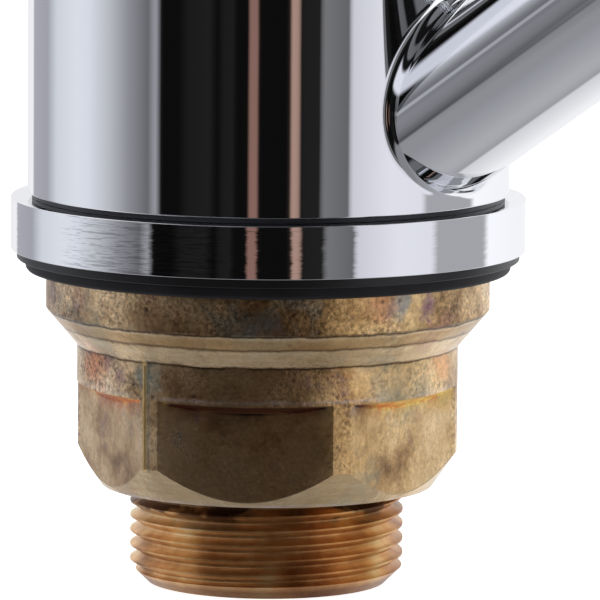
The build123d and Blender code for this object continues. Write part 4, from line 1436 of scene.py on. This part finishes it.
# The cartridge's plastic pieces and the aerator's insert: injection moulded glass-filled nylon.
# It is off-white, with a fine mottle of fibres a millimetre wide and a dull moulded skin.
nylon, tree, shader, place = begin("moulded_white_nylon")
fibres = put(tree, "TexNoise", {"Vector": place, "Scale": per_mm(0.9), "Detail": 5})
tint = put(tree, "ValToRGB", (fibres,), [(0.3, "#D9D7CF"), (0.7, "#ECEBE6")])
rough = put(tree, "MapRange", (fibres, 0.3, 0.7, 0.38, 0.5))
relief = put(tree, "Bump", {"Height": fibres, "Strength": 0.2, "Distance": 0.00002})
feed(shader, {"Base Color": tint, "Roughness": rough, "Normal": relief})
coat(
    nylon,
    "cartridge_base", "cartridge_housing", "cartridge_turret", "disc_carrier", "aerator_insert",
)

# The two discs: pressed and fired alumina, lapped flat. They are ivory white with a mottle under
# a millimetre wide, and their faces shine like glazed china.
alumina, tree, shader, place = begin("lapped_alumina_ceramic")
mottle = put(tree, "TexNoise", {"Vector": place, "Scale": per_mm(1.4), "Detail": 4})
tint = put(tree, "ValToRGB", (mottle,), [(0.3, "#E6E2D6"), (0.7, "#F2EFE8")])
rough = put(tree, "MapRange", (mottle, 0.3, 0.7, 0.12, 0.22))
feed(shader, {"Base Color": tint, "Roughness": rough})
coat(alumina, "fixed_ceramic_disc", "moving_ceramic_disc")

# The stem's pin and the lever's set screw: drawn and ground stainless steel, a grey mirror that
# fine grinding marks of 0.4 mm make satin.
steel, tree, shader, place = begin("ground_stainless_steel")
marks = put(tree, "TexNoise", {"Vector": place, "Scale": per_mm(2.5), "Detail": 3})
rough = put(tree, "MapRange", (marks, 0.3, 0.7, 0.2, 0.38))
relief = put(tree, "Bump", {"Height": marks, "Strength": 0.2, "Distance": 0.00001})
feed(shader, {"Base Color": "#C6C6C8", "Metallic": 1.0, "Roughness": rough, "Normal": relief})
coat(steel, "stem_pin", "lever_set_screw")

# The cartridge's stem and the retaining nut: brass, machined from bar and not plated. It is a
# clear yellow, slightly dulled in patches 6 mm wide, and the turning marks run round it.
bar_brass, tree, shader, place = begin("machined_bar_brass")
dulled = put(tree, "TexNoise", {"Vector": place, "Scale": per_mm(0.16), "Detail": 4})
tint = put(tree, "ValToRGB", (dulled,), [(0.3, "#C49A55"), (0.7, "#DDB873")])
turned_place = [per_mm(count) for count in (0.06, 0.06, 5)]
turned_place = put(tree, "Mapping", {"Vector": place, "Scale": turned_place})
cuts = put(tree, "TexNoise", {"Vector": turned_place, "Scale": 1, "Detail": 2})
rough = put(tree, "MapRange", (cuts, 0.3, 0.7, 0.2, 0.34))
relief = put(tree, "Bump", {"Height": cuts, "Strength": 0.3, "Distance": 0.00001})
feed(shader, {"Base Color": tint, "Metallic": 1.0, "Roughness": rough, "Normal": relief})
coat(bar_brass, "cartridge_stem", "retaining_nut")

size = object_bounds()
